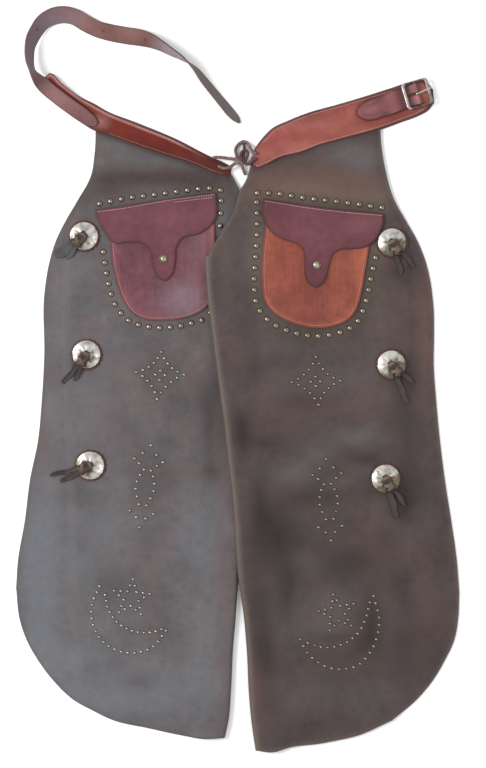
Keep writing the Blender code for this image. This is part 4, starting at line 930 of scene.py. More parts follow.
def leather(name, base, gloss=0.5, painted=(), creased=0, shine=0.3, clouds=(),
            cloud_size=0.032, cloud_depth=0.5, flecked=0.14):
    """Dyed and oiled cowhide: cloudy colour, a fine pebble of pores, and duller dry spots.

    painted gives (mark, colour, strength) for what years of use left on the piece, and for painted
    shade and highlights."""
    material, tree, shader, place = new_material(name)
    cloud = node(tree, "TexNoise", {"Vector": place, "Scale": 1 / 0.07, "Detail": 4,
                                    "Roughness": 0.55})
    fleck = node(tree, "TexNoise", {"Vector": place, "Scale": 1 / 0.012, "Detail": 5,
                                    "Roughness": 0.65})
    spread = node(tree, "MapRange", {"Value": cloud, "From Min": 0.28, "From Max": 0.72})
    mixed = node(tree, "Mix", {"Factor": spread, "A": shade(base, 0.72),
                               "B": shade(base, 1.32, 0.006)}, 2, data_type="RGBA")
    fine = node(tree, "MapRange", {"Value": fleck, "From Min": 0.3, "From Max": 0.7,
                                   "To Min": 1 - flecked, "To Max": 1 + flecked})
    mixed = node(tree, "VectorMath", {0: mixed, "Scale": fine}, operation="SCALE")
    stains = []
    if clouds:
        drift = node(tree, "TexNoise", {"Vector": place, "Scale": 1 / cloud_size, "Detail": 4,
                                        "Roughness": 0.6, "Distortion": 0.5})
        for stain, start, full in zip(clouds, (0.5, 0.47), (0.68, 0.32)):
            stains.append((stain, node(tree, "MapRange", {
                "Value": drift, "From Min": start, "From Max": full, "To Max": cloud_depth})))
    for mark, stain, strength in painted:
        amount = node(tree, "Attribute", {}, "Fac", attribute_name=mark)
        broken = node(tree, "MapRange", {"Value": fleck, "From Min": 0.25, "From Max": 0.75,
                                         "To Min": strength * 0.65, "To Max": strength})
        stains.append((stain, node(tree, "Math", {0: amount, 1: broken}, operation="MULTIPLY",
                                   use_clamp=True)))
    for stain, amount in stains:
        mixed = node(tree, "Mix", {"Factor": amount, "A": mixed, "B": stain}, 2,
                     data_type="RGBA")
    dull = node(tree, "MapRange", {"Value": fleck, "From Min": 0.3, "From Max": 0.75,
                                   "To Min": gloss - 0.07, "To Max": gloss + 0.12})
    # Real pores are 0.3 mm apart, too fine to see from here, so the pebble is 1.6 mm.
    pebble = node(tree, "TexVoronoi", {"Vector": place, "Scale": 1 / 0.0016},
                  feature="SMOOTH_F1")
    normal = node(tree, "Bump", {"Height": pebble, "Strength": 0.18, "Distance": 0.0004},
                  invert=True)
    normal = node(tree, "Bump", {"Height": fleck, "Strength": 0.25, "Distance": 0.0012,
                                 "Normal": normal})
    if creased:
        tall = node(tree, "Mapping", {"Vector": place, "Scale": (1 / 0.006, 1 / 0.05, 1)})
        pleat = node(tree, "TexNoise", {"Vector": tall, "Scale": 1, "Detail": 3,
                                        "Distortion": 0.4})
        normal = node(tree, "Bump", {"Height": pleat, "Strength": creased,
                                     "Distance": 0.0015, "Normal": normal})
    feed(tree, shader, {"Base Color": mixed, "Roughness": dull, "Normal": normal,
                        "IOR": 1.46, "Specular IOR Level": shine})
    return material


def plain(name, base, tones, size, roughness, detail=4, harsh=0.5, nap=0):
    """A dull finish mottled between two tones, with nap as relief where it has any."""
    material, tree, shader, place = new_material(name)
    spots = node(tree, "TexNoise", {"Vector": place, "Scale": 1 / size, "Detail": detail,
                                    "Roughness": harsh})
    dark, light = (shade(base, tone) for tone in tones)
    feed(tree, shader, {"Roughness": roughness, "Base Color": node(
        tree, "Mix", {"Factor": spots, "A": dark, "B": light}, 2, data_type="RGBA")})
    if nap:
        feed(tree, shader, {"Normal": node(tree, "Bump", {"Height": spots, "Strength": nap,
                                                          "Distance": 0.0006})})
    return material


def hide(name, base, flesh=None, **finish):
    """The three faces of one leather: its grain, its flesh side and its cut edge."""
    return [leather(name, base, **finish),
            # the inner side has a short dull nap with darker worn spots
            plain(name + "_flesh", flesh or tint("flesh"), (0.7, 1.25), 0.003, 0.9, detail=6,
                  harsh=0.7, nap=0.5),
            # the cut edge is rubbed dark and smooth
            plain(name + "_edge", base, (0.45, 0.95), 0.008, 0.55)]


def waxed_thread(name, base):
    """Two-ply linen thread, waxed: dull, and darker where dirt sticks."""
    return plain(name, base, (0.55, 1.15), 0.02, 0.75, detail=3)


def metal(name, base, roughness, tarnish, dents=0.3, stained=0.45, patch_size=0.006):
    """Cast and polished metal with tarnish left in its hollows, and painted shade where a piece
    marks it.
    """
    material, tree, shader, place = new_material(name)
    cloud = node(tree, "TexNoise", {"Vector": place, "Scale": 1 / patch_size, "Detail": 4,
                                    "Roughness": 0.6})
    hollow = node(tree, "Attribute", {}, "Fac", attribute_name="hollow")
    stain = node(tree, "MapRange", {"Value": cloud, "From Min": 0.45, "From Max": 0.75,
                                    "To Max": stained})
    total = node(tree, "Math", {0: stain, 1: hollow}, operation="ADD", use_clamp=True)
    mixed = node(tree, "Mix", {"Factor": total, "A": shade(base),
                               "B": shade(linear(tarnish))}, 2, data_type="RGBA")
    rough = node(tree, "MapRange", {"Value": total, "To Min": roughness,
                                    "To Max": roughness + 0.3})
    bump = node(tree, "Bump", {"Height": cloud, "Strength": dents, "Distance": 0.0003})
    feed(tree, shader, {"Base Color": mixed, "Roughness": rough, "Metallic": 1.0,
                        "Normal": bump})
    return material


# ---------------------------------------------------------------- the legs' surfaces

def leg_grids(leg):
    """The front, wing and back flap of a leg as grids of points on the page."""
    cut_rows, fold_rows = LEG_ROWS
    cut = evenly(leg.cut, cut_rows + 1)
    reach = LOOP_RADIUS + mm("leg") / 2
    turn = evenly([(x + leg.side * reach, y) for x, y in leg.fold], fold_rows + 1)
    inner = np.concatenate([cut[:-1], turn])
    run = run_along(inner)
    seam, outer = (smooth(line, run / run[-1]) for line in (leg.seam, leg.outer))
    hem, flap_hem = smooth(leg.hem, LEG_MAIN), smooth(leg.flap_hem, LEG_FLAP)
    hem[0] = flap_hem[0] = inner[-1]
    main = patch(smooth(leg.top[:-1], LEG_MAIN), hem, inner, seam, LEG_MAIN)
    wing = patch(smooth(leg.top[-2:], LEG_WING), smooth(leg.hem_wing, LEG_WING), seam,
                 outer, LEG_WING, late=3)
    flap = patch(smooth(leg.flap_top, LEG_FLAP), flap_hem, turn,
                 evenly(leg.flap_edge, fold_rows + 1), LEG_FLAP)
    return main, wing, flap, run[cut_rows] - run


def flap_z():
    return mm("leg") / 2


def front_z():
    return mm("leg") * 1.5 + GAP


def from_column(grid, column):
    return np.linalg.norm(grid - grid[:, column, None], axis=2)


def leg_surface(leg):
    """The front of a leg, and its turned edge with the flap, as grids of points in space."""
    rides = leg.side > 0
    main, wing, flap, to_turn = leg_grids(leg)
    near_turn = (1 - ease(to_turn / LOOP_START))[:, None]
    from_edge = from_column(main, 0)
    crown = ((2 * LOOP_RADIUS + flap_z() - front_z()) * (1 - ease(from_edge / LOOP_SETTLE))
             * near_turn)
    if rides:
        fade = 1 - ease((past_left_edge(main) - ROOM_FROM) / ROOM_LENGTH)
        crown = crown + ROOM * ease(from_edge / ROOM_START) * fade * near_turn
    below_top = ease((WING_FADE[0] - wing[..., 1]) / (WING_FADE[0] - WING_FADE[1]))
    drop = (front_z() - flap_z()) * ease(from_column(wing, 0) / WING_SETTLE) * below_top
    flat = np.concatenate([main, wing[:, 1:]], axis=1)
    height = np.concatenate([front_z() + crown, front_z() - drop[:, 1:]], axis=1)
    side = "right" if rides else "left"
    page = flat.reshape(-1, 2)
    swell = soft_spots(page, SWELLS[side])
    for width, rise, line in FOLDS[side]:
        swell += rise * bell(distance_to(page, evenly(line, 30)) / width)
    from_rim = np.minimum(from_column(flat, 0), from_column(flat, -1))
    height = (height + ride(flat) * rides
              + swell.reshape(height.shape) * ease(from_rim / SWELL_START))
    front = np.dstack([flat, height])

    angles = np.linspace(0, pi, LOOP_STEPS + 1)
    turn = flap[:, :1]
    x = turn[..., 0] - leg.side * LOOP_RADIUS * np.sin(angles)
    z = flap_z() + LOOP_RADIUS * (1 + np.cos(angles)) + ride(turn) * rides
    loop = np.dstack([x, np.repeat(turn[..., 1], len(angles), axis=1), z])
    under = np.dstack([flap, flap_z() + ride(flap) * rides])
    return front, np.concatenate([loop, under[:, 1:]], axis=1)


# ---------------------------------------------------------------- operators

class CHAPS_OT_stage(Operator):
    """Pale floor, soft light from the left and the camera above"""
    bl_idname = "chaps.stage"
    bl_label = "Stage"

    def execute(self, context):
        scene = context.scene
        scene.view_settings.view_transform = "Standard"
        camera = bpy.data.cameras.new("camera")
        camera.lens, camera.sensor_width, camera.clip_end = CAMERA_LENS, 36, 50
        scene.camera = bpy.data.objects.new("camera", camera)
        scene.camera.location = CAMERA_PLACE
        context.collection.objects.link(scene.camera)

        bm = bmesh.new()
        bmesh.ops.create_grid(bm, x_segments=1, y_segments=1, size=4)
        floor = bpy.data.objects.new("floor", mesh_of(bm, "floor"))
        context.collection.objects.link(floor)
        # smooth matt board, so even that it only shows as white
        floor.data.materials.append(plain("white_board", (1, 1, 1), (0.86, 0.9), 1 / 60, 0.9,
                                          detail=3))

        scene.world = bpy.data.worlds.new("studio")
        scene.world.use_nodes = True
        tree = scene.world.node_tree
        feed(tree, tree.nodes["Background"], {"Color": (1, 1, 1, 1), "Strength": SKY})
        for name, place, size, power in LIGHTS:
            light = bpy.data.lights.new(name, "AREA")
            light.shape, light.size, light.energy = "SQUARE", size, power
            lamp = bpy.data.objects.new(name, light)
            lamp.location = place
            lamp.rotation_euler = (-Vector(place)).to_track_quat("-Z", "Y").to_euler()
            context.collection.objects.link(lamp)
        return {"FINISHED"}


class CHAPS_OT_lace(Operator):
    """The lace that ties the two belts"""
    bl_idname = "chaps.lace"
    bl_label = "Lace"

    def execute(self, context):
        # the inner copy is the same lace painted darker, as shade inside the loop
        look, deep = (leather("lace_leather_" + part, tint(hue), cloud_size=0.011,
                              cloud_depth=0.9, clouds=tones) for part, hue, tones in (
            ("outer", "lace", ((0.2, 0.16, 0.155, 1), (0.06, 0.035, 0.04, 1))),
            ("inner", "lace_shaded", ((0.1, 0.045, 0.05, 1), (0.025, 0.01, 0.018, 1)))))

        def part(name, bm, material):
            return piece(name, bm, [material], "thong_leather", "front_lace", smooth_angle=180)

        knot = bmesh.new()
        bmesh.ops.create_icosphere(knot, subdivisions=4, radius=1)
        for v in knot.verts:
            v.co *= 1 + 0.10 * sin(7 * v.co.x + 4 * v.co.y) * cos(5 * v.co.y - 3 * v.co.z)
        bmesh.ops.scale(knot, vec=LACE_KNOT_SIZE, verts=knot.verts)
        bmesh.ops.translate(knot, vec=LACE_KNOT, verts=knot.verts)
        tie = part("lace_knot", knot, look)
        half = mm("lace") / 2
        turn = part("lace_turn", tube(evenly(LACE_TURN, LACE_POINTS), half * 0.9, half * 0.72),
                    deep)
        for number, (route, far_end, material) in enumerate(zip(
                LACES, ("object", "bare", "object"), (look, look, deep))):
            path = evenly(route, LACE_POINTS)
            strand = part("lace_strand_%d" % number, tube(path, half, half * 0.8), material)
            float(run_along(path)[-1]) * MM
            mm("lace") * MM
        return {"FINISHED"}


class CHAPS_OT_legs(Operator):
    """The two legs, each one piece of leather turned round at its inner edge"""
    bl_idname = "chaps.legs"
    bl_label = "Legs"

    def execute(self, context):
        for side, leg in LEGS.items():
            bm = bmesh.new()
            for grid in leg_surface(leg):
                lay_grid(bm, grid)
            bmesh.ops.remove_doubles(bm, verts=bm.verts, dist=0.01)
            bmesh.ops.recalc_face_normals(bm, faces=bm.faces)
            looks = hide("leg_leather_" + side, tint("leg_" + side), gloss=0.6,
                         clouds=LEG_CLOUDS[side], flecked=0.2,
                         painted=[(mark, stain, strength) for (mark, strength), stain in zip((
                             ("brown", 0.9), ("pale", 0.9), ("dark", 0.95),
                             ("verdigris", 0.8), ("rubbed", 0.8)), LEG_STAINS[side])])
            co = coordinates(bm)
            _, y, z = co.T
            top = z > (5 if side == "left" else 3)
            # painted shadow on the leg along the belt's lower edge
            shade_under_belt = bell(nearest(co, [BELTS[side].lower]) * (z > 3) / 5) * (y > 300)
            near = nearest(co, [line for _, line in STUD_LINES[side]], 40)
            nail = np.min([away_from(co, *place) for place in nail_places(side)], axis=0)
            rim = nearest(co, (leg.outer, leg.hem, leg.hem_wing, leg.cut))
            # worn: rubbing along the turned edge, with a painted highlight where that edge faces
            # the light
            worn = bell((nearest(co, [leg.fold]) - 4) / 5.0) * top * (y < 240)
            leather_piece("leg_" + side, bm, looks, "leg_leather_" + side, mm("leg"), 0.5, 180,
                          {"brown": soft_spots(co, BROWN[side]),
                           # pale: cool bloom, and painted highlight along crease ridges
                           "pale": soft_spots(co, BLOOM_AND_HIGHLIGHT[side]),
                           # dark: oil and sweat, and painted shade under the belt, by the right
                           # leg's turned edge and along creases
                           "dark": soft_spots(co, DARK_AND_SHADE[side]) + SHADE_UNDER_BELT[side] * shade_under_belt,
                           "verdigris": (bell(near / 7) + 0.45 * bell(nail / 7)) * top,
                           # rubbed: rubbed edges and spots, and painted highlight along the turned
                           # edge
                           "rubbed": (0.6 * bell(rim / 4.0) + TURN_RUB_AND_HIGHLIGHT[side] * worn
                                      + soft_spots(co, LEG_RUBBED[side]) * top)},
                          flat=LEG_CUT[side][0], area=LEG_CUT[side][1], held="folded",
                          rests_on=[] if side == "left" else ["leg_left_leather"])
        return {"FINISHED"}


def leg_tree(side):
    """The front of one leg as a surface for finding heights, made once."""
    if side not in leg_tree.made:
        leg_tree.made[side] = surface_tree(leg_surface(LEGS[side])[0])
    return leg_tree.made[side]


leg_tree.made = {}


class CHAPS_OT_pockets(Operator):
    """The two pockets, their flaps, snaps and stitching"""
    bl_idname = "chaps.pockets"
    bl_label = "Pockets"

    def execute(self, context):
        thread = waxed_thread("linen_thread", tint("thread"))
        darker = waxed_thread("pocket_thread", tint("seam"))
        brass = metal("snap_brass", tint("snap"), 0.25, "#33291a")
        thick = mm("pocket")
        for side, pocket in POCKETS.items():
            def over(x, y, height):
                """The place some way above the leg's own leather, and the normal there."""
                return on_surface(leg_tree(side), x, y, mm("leg") / 2 + height)

            def cut(shape, height):
                """A shape laid some way above the leg, its points and their way from the rim."""
                bm = cut_shape(shape, POCKET_RIMS, POCKET_CELL)
                for v in bm.verts:
                    v.co = over(v.co.x, v.co.y, height + thick / 2)[0]
                co = coordinates(bm)
                return bm, co, distance_to(co, np.concatenate([shape, shape[:1]]))

            flap_height = 2 * GAP + thick
            body = outline((110, pocket.body), (36, pocket.body_top))
            bm, co, rim = cut(body, GAP)
            looks = hide("pocket_leather_" + side, tint("pocket_" + side),
                         creased=POCKET_CREASED[side], flecked=0.22,
                         painted=(("rubbed", POCKET_RUBBED[side], 0.75),
                                  ("bloom", POCKET_BLOOM[side], 0.8),
                                  ("deep", POCKET_DEEP[side], 0.9)))
            leather_piece("pocket_" + side, bm, looks, "pocket_leather_" + side, thick, 0.45,
                          marks={"rubbed": (bell((rim - 6.5) / 2.4) * 0.4
                                            + soft_spots(co, POCKET_PALE[side])),
                                 "bloom": soft_spots(co, POCKET_CLOUD[side]),
                                 "deep": bell(rim / 3.0)},
                          flat=(0.178, 0.200), area=0.0295, held="laid",
                          rests_on=["leg_%s_leather" % side])

            shape = outline((150, pocket.flap), (40, pocket.flap_top))
            bm, co, rim = cut(shape, flap_height)
            looks = hide("flap_leather_" + side, tint("flap"), gloss=0.52,
                         painted=(("rubbed", (0.2, 0.075, 0.085, 1), 0.6),
                                  ("deep", (0.03, 0.009, 0.011, 1), 0.95)))
            # deep: the flap's dark cut edge, and painted shadow along it
            leather_piece("pocket_flap_" + side, bm, looks, "flap_leather", thick, 0.45,
                          marks={"rubbed": soft_spots(co, FLAP_PALE[side]),
                                 "deep": bell(rim / 2.2)},
                          flat=(0.194, 0.141), area=0.0140, held="laid",
                          rests_on=["pocket_%s_leather" % side])

            seam = [p for p in beside(pocket.body, POCKET_SEAM_IN, (-999, 999))
                    if not inside(p, shape)]
            sew("pocket_%s_stitching" % side, list(stitch_places(
                seam, lambda x, y: over(x, y, GAP + thick + STITCH_LIFT))), darker)
            places = []
            for line in FLAP_STITCHES[side]:
                places += stitch_places(evenly(line, 100), lambda x, y: over(
                    x, y, flap_height + thick + STITCH_LIFT))
            sew("pocket_flap_%s_stitching" % side, places, thread)

            place, normal = over(*pocket.snap, flap_height + thick + GAP)
            snap = turned(SNAP_PROFILE, 40)
            bmesh.ops.transform(snap, verts=snap.verts, matrix=standing(place, normal))
            piece("pocket_snap_%s_brass" % side, snap, [brass], "snap_metal",
                  "pocket_snap_" + side,
                  hollow=bell((away_from(coordinates(snap), *place.xy) - SNAP_GROOVE) / 0.5))
        return {"FINISHED"}


def inside(point, shape):
    """Whether a point is inside a closed outline."""
    x, y = point
    odd = False
    for (x0, y0), (x1, y1) in zip(shape, np.roll(shape, -1, axis=0)):
        if (y0 > y) != (y1 > y) and x < (x1 - x0) * (y - y0) / (y1 - y0) + x0:
            odd = not odd
    return odd


def between(a, b, pull, centre, count):
    """Points from a up to b on a line that bows towards a centre."""
    middle = (a + b) / 2
    control = middle + (centre - middle) * 2 * pull
    for t in np.arange(count) / count:
        yield a * (1 - t) ** 2 + control * 2 * t * (1 - t) + b * t * t


def nail_places(side):
    """Where the small nails of the four ornaments on one leg go."""
    tips, centre = (np.array(points, float) for points in DIAMONDS[side])
    for a, b in zip(tips, np.roll(tips, -1, axis=0)):
        yield from between(a, b, DIAMOND_BOW, centre, DIAMOND_SIDE)
    yield from centre + (tips - centre) * DIAMOND_CORE
    head, foot = (np.array(p, float) for p in SPRAYS[side])
    along = (foot - head) / hypot(*(foot - head))
    across = np.array([-along[1], along[0]])
    yield from (head, foot)
    for down, half in SPRAY_PAIRS:
        for way in (1, -1):
            yield head + along * down + across * half * way
    centre, turn = STARS[side]
    angles = np.radians(turn + 36 * np.arange(10))
    corners = centre + np.tile([STAR_REACH, STAR_WAIST], 5)[:, None] * np.column_stack(
        [np.cos(angles), np.sin(angles)])
    for a, b in zip(corners, np.roll(corners, -1, axis=0)):
        yield from (a, (a + b) / 2)
    for count, line in CRESCENTS[side]:
        yield from evenly(line, count)


class CHAPS_OT_studs(Operator):
    """The studs round the pockets and the small nails of the ornaments"""
    bl_idname = "chaps.studs"
    bl_label = "Studs"

    def execute(self, context):
        brass, dull, plated = (
            metal(name, tint(hue), 0.3, tarnish, dents=0.5) for name, hue, tarnish in (
                ("stud_brass", "brass", "#453c2d"), ("nail_brass", "nails", "#2a2622"),
                ("nail_nickel", "plated", "#39342c")))
        for side in LEGS:
            studs = [p for count, line in STUD_LINES[side] for p in evenly(line, count)]
            for kind, size, profile, tip, steps, worn, look, points in (
                    ("studs", "stud", STUD_PROFILE, STUD_TIP, 16, 0.78, brass, studs),
                    ("nails", "nail", NAIL_PROFILE, NAIL_TIP, 12, 0.7,
                     plated if side == "left" else dull, list(nail_places(side)))):
                radius, top = mm(size) / 2, mm(size + "_height")
                shape = turned([(radius * r, z) for r, z in profile]
                               + [(radius * r, top - z) for r, z in tip], steps)
                # darker towards each stud's and nail's foot: tarnish, and painted shade round its
                # rim
                hollow = ease((away_from(coordinates(shape), 0, 0) / radius - worn) / 0.2)
                piece("%s_%s" % (kind, side), scatter(shape, [
                    standing(*on_surface(leg_tree(side), x, y, mm("leg") / 2))
                    for x, y in points]), [look], "stud_metal", smooth_angle=60,
                      hollow=np.tile(hollow, len(points)))
        return {"FINISHED"}


def belt_rise(x):
    return BELT_RISE * ease((-x - RISE_START) / RISE_LENGTH)


def belt_rows(belt):
    """The belt's face as rows along it, each from its lower edge over the ridge to the upper."""
    lower, ridge, upper = (evenly(line, BELT_ALONG) for line in
                           (belt.lower, belt.ridge, belt.upper))
    high = front_z() + mm("leg") / 2 + GAP + mm("belt") / 2
    low = mm("belt") * 1.5 + GAP
    over_leg = 1 - ease((np.abs(ridge[:, 0]) - abs(belt.leg_corner) - 2) / BELT_SETTLE)
    reach = np.linalg.norm(upper - ridge, axis=1)
    columns = [(lower + (ridge - lower) * t, 0 * reach) for t in BELT_LOWER_COLUMNS]
    columns += [(ridge + (upper - ridge) * t, np.minimum(high - low, BELT_SLOPE * t * reach))
                for t in BELT_UPPER_COLUMNS]
    return np.stack([np.column_stack([
        flat, low + np.maximum(0, high - low - drop) * over_leg + belt_rise(flat[:, 0])])
        for flat, drop in columns], axis=1)


def by_buckle(x, y):
    """A place on the page, from its place beside the buckle's middle."""
    turn = radians(BUCKLE_TURN)
    return (BUCKLE_PLACE[0] + x * cos(turn) - y * sin(turn),
            BUCKLE_PLACE[1] + x * sin(turn) + y * cos(turn))


def tab_edge():
    """The outline of the leather that lies on the right belt."""
    edge = [(x, low) for x, low, _ in CHAPE_TOP[::-1]] + [(x, high) for x, _, high in CHAPE_TOP]
    return [by_buckle(*p) for p in edge]


class CHAPS_OT_belts(Operator):
    """The two-layer belts and their stitching"""
    bl_idname = "chaps.belts"
    bl_label = "Belts"

    def execute(self, context):
        threads = {"left": waxed_thread("dark_thread", tint("dark_thread")),
                   "right": waxed_thread("belt_thread", tint("thread"))}
        thick = mm("belt")
        for side, belt in BELTS.items():
            rows = belt_rows(belt)
            bm = bmesh.new()
            lay_grid(bm, rows)
            face_up(bm)
            looks = hide("belt_leather_" + side, tint("belt_" + side), shine=BELT_SHINE[side],
                         painted=(("rubbed", BELT_RUBBED[side], 0.75),
                                  ("deep", BELT_DEEP_AND_SHADOW[side], 0.9)))
            co = coordinates(bm)
            low_rim, high_rim = nearest(co, [belt.lower]), nearest(co, [belt.upper])
            band = bell((high_rim - 2.8) / 1.9) * BELT_BAND[side]
            # a painted shadow along the tab's edge, or along the strap's upper edge on the left
            # belt
            groove, wide = tab_edge(), 3.0
            if side == "left":
                band *= ease((-40 - co[:, 0]) / 60)
                groove, wide = STRAP_SHADOW_LINE, 1.6
            # deep: dark cut edges, a darker lower edge, spots of sweat, and painted shadow along
            # the strap or the tab
            dark = (bell(np.minimum(low_rim, high_rim) / 1.7)
                    + BELT_SHADE[side] * bell(low_rim / 6) + bell(nearest(co, [groove], 40) / wide)
                    + soft_spots(co, BELT_DARK_AND_SHADOW[side]))
            leather_piece("belt_face_" + side, bm, looks, "belt_leather_" + side, thick, 0.6,
                          marks={"rubbed": soft_spots(co, BELT_PALE[side]) + band,
                                 "deep": dark},
                          flat=BELT_CUT[side], held="laid",
                          rests_on=["leg_%s_leather" % side, "belt_lining_%s_leather" % side])

            lower, upper = (evenly(line, BELT_ALONG)[:, None] for line in
                            (belt.lining_lower, belt.lining_upper))
            t = np.linspace(0, 1, 9)[None, :, None]
            flat = lower * (1 - t) + upper * t
            bm = bmesh.new()
            lay_grid(bm, np.dstack([flat, thick / 2 + belt_rise(flat[..., 0])]))
            face_up(bm)
            leather_piece("belt_lining_" + side, bm, hide("lining_leather_" + side,
                                                          tint("lining"), gloss=0.6),
                          "lining_leather", thick, 0.6, flat=BELT_CUT[side], held="laid")

            tree = surface_tree(rows)
            places = []
            for edge, span, way in zip((belt.lower, belt.upper), BELT_SEAMS[side], (1, -1)):
                if span:
                    places += stitch_places(beside(edge, way * SEAM_IN, span), lambda x, y:
                                            on_surface(tree, x, y, thick / 2 + STITCH_LIFT))
            sew("belt_%s_stitching" % side, places, threads[side])
        return {"FINISHED"}


class CHAPS_OT_strap(Operator):
    """The long strap from the left belt's end"""
    bl_idname = "chaps.strap"
    bl_label = "Strap"

    def execute(self, context):
        fine = evenly([row[:2] + (0,) + row[2:] for row in STRAP_TABLE], STRAP_ALONG)
        at, low, roll, width = fine[:, :2], fine[:, 3], np.radians(fine[:, 4]), fine[:, 5]
        run = np.gradient(at, axis=0)
        run /= np.linalg.norm(run, axis=1)[:, None]
        left = np.column_stack([-run[:, 1], run[:, 0], 0 * roll])
        arm = left * np.cos(roll)[:, None] - np.outer(np.sin(roll), (0, 0, 1))
        centre = np.column_stack([at, low + np.abs(np.sin(roll)) * width / 2
                                  + np.abs(np.cos(roll)) * mm("strap") / 2 + 0.2])
        t = np.linspace(1, -1, STRAP_ACROSS)
        bm = bmesh.new()
        lay_grid(bm, centre[:, None] + arm[:, None] * (t[None, :, None]
                                                       * width[:, None, None] / 2))
        bmesh.ops.recalc_face_normals(bm, faces=bm.faces)
        looks = hide("strap_leather", tint("strap"), flesh=linear("#5f5856"),
                     painted=(("warm", (0.16, 0.065, 0.04, 1), 0.7),
                              ("rubbed", (0.22, 0.12, 0.125, 1), 0.7),
                              ("dark", (0.105, 0.078, 0.102, 1), 0.85),
                              ("deep", (0.06, 0.045, 0.045, 1), 0.8),
                              ("ash", (0.25, 0.225, 0.25, 1), 0.8),
                              ("hole", (0.006, 0.004, 0.004, 1), 0.95)))
        co = coordinates(bm)
        marks = {mark: soft_spots(co, spots) for mark, spots in STRAP_WEAR.items()}
        marks["deep"] = ease((np.tile(np.abs(t), len(fine)) - 0.72) / 0.28) * 0.8
        # hole: painted shade of the strap's holes
        marks["hole"] = bell(np.min([away_from(co, *hole) for hole in STRAP_HOLES], axis=0)
                             / 1.9)
        leather_piece("belt_strap", bm, looks, "strap_leather", mm("strap"), 0.6, marks=marks,
                      flat=(0.028, 0.562), held="laid", rests_on=["belt_face_left_leather"])
        return {"FINISHED"}


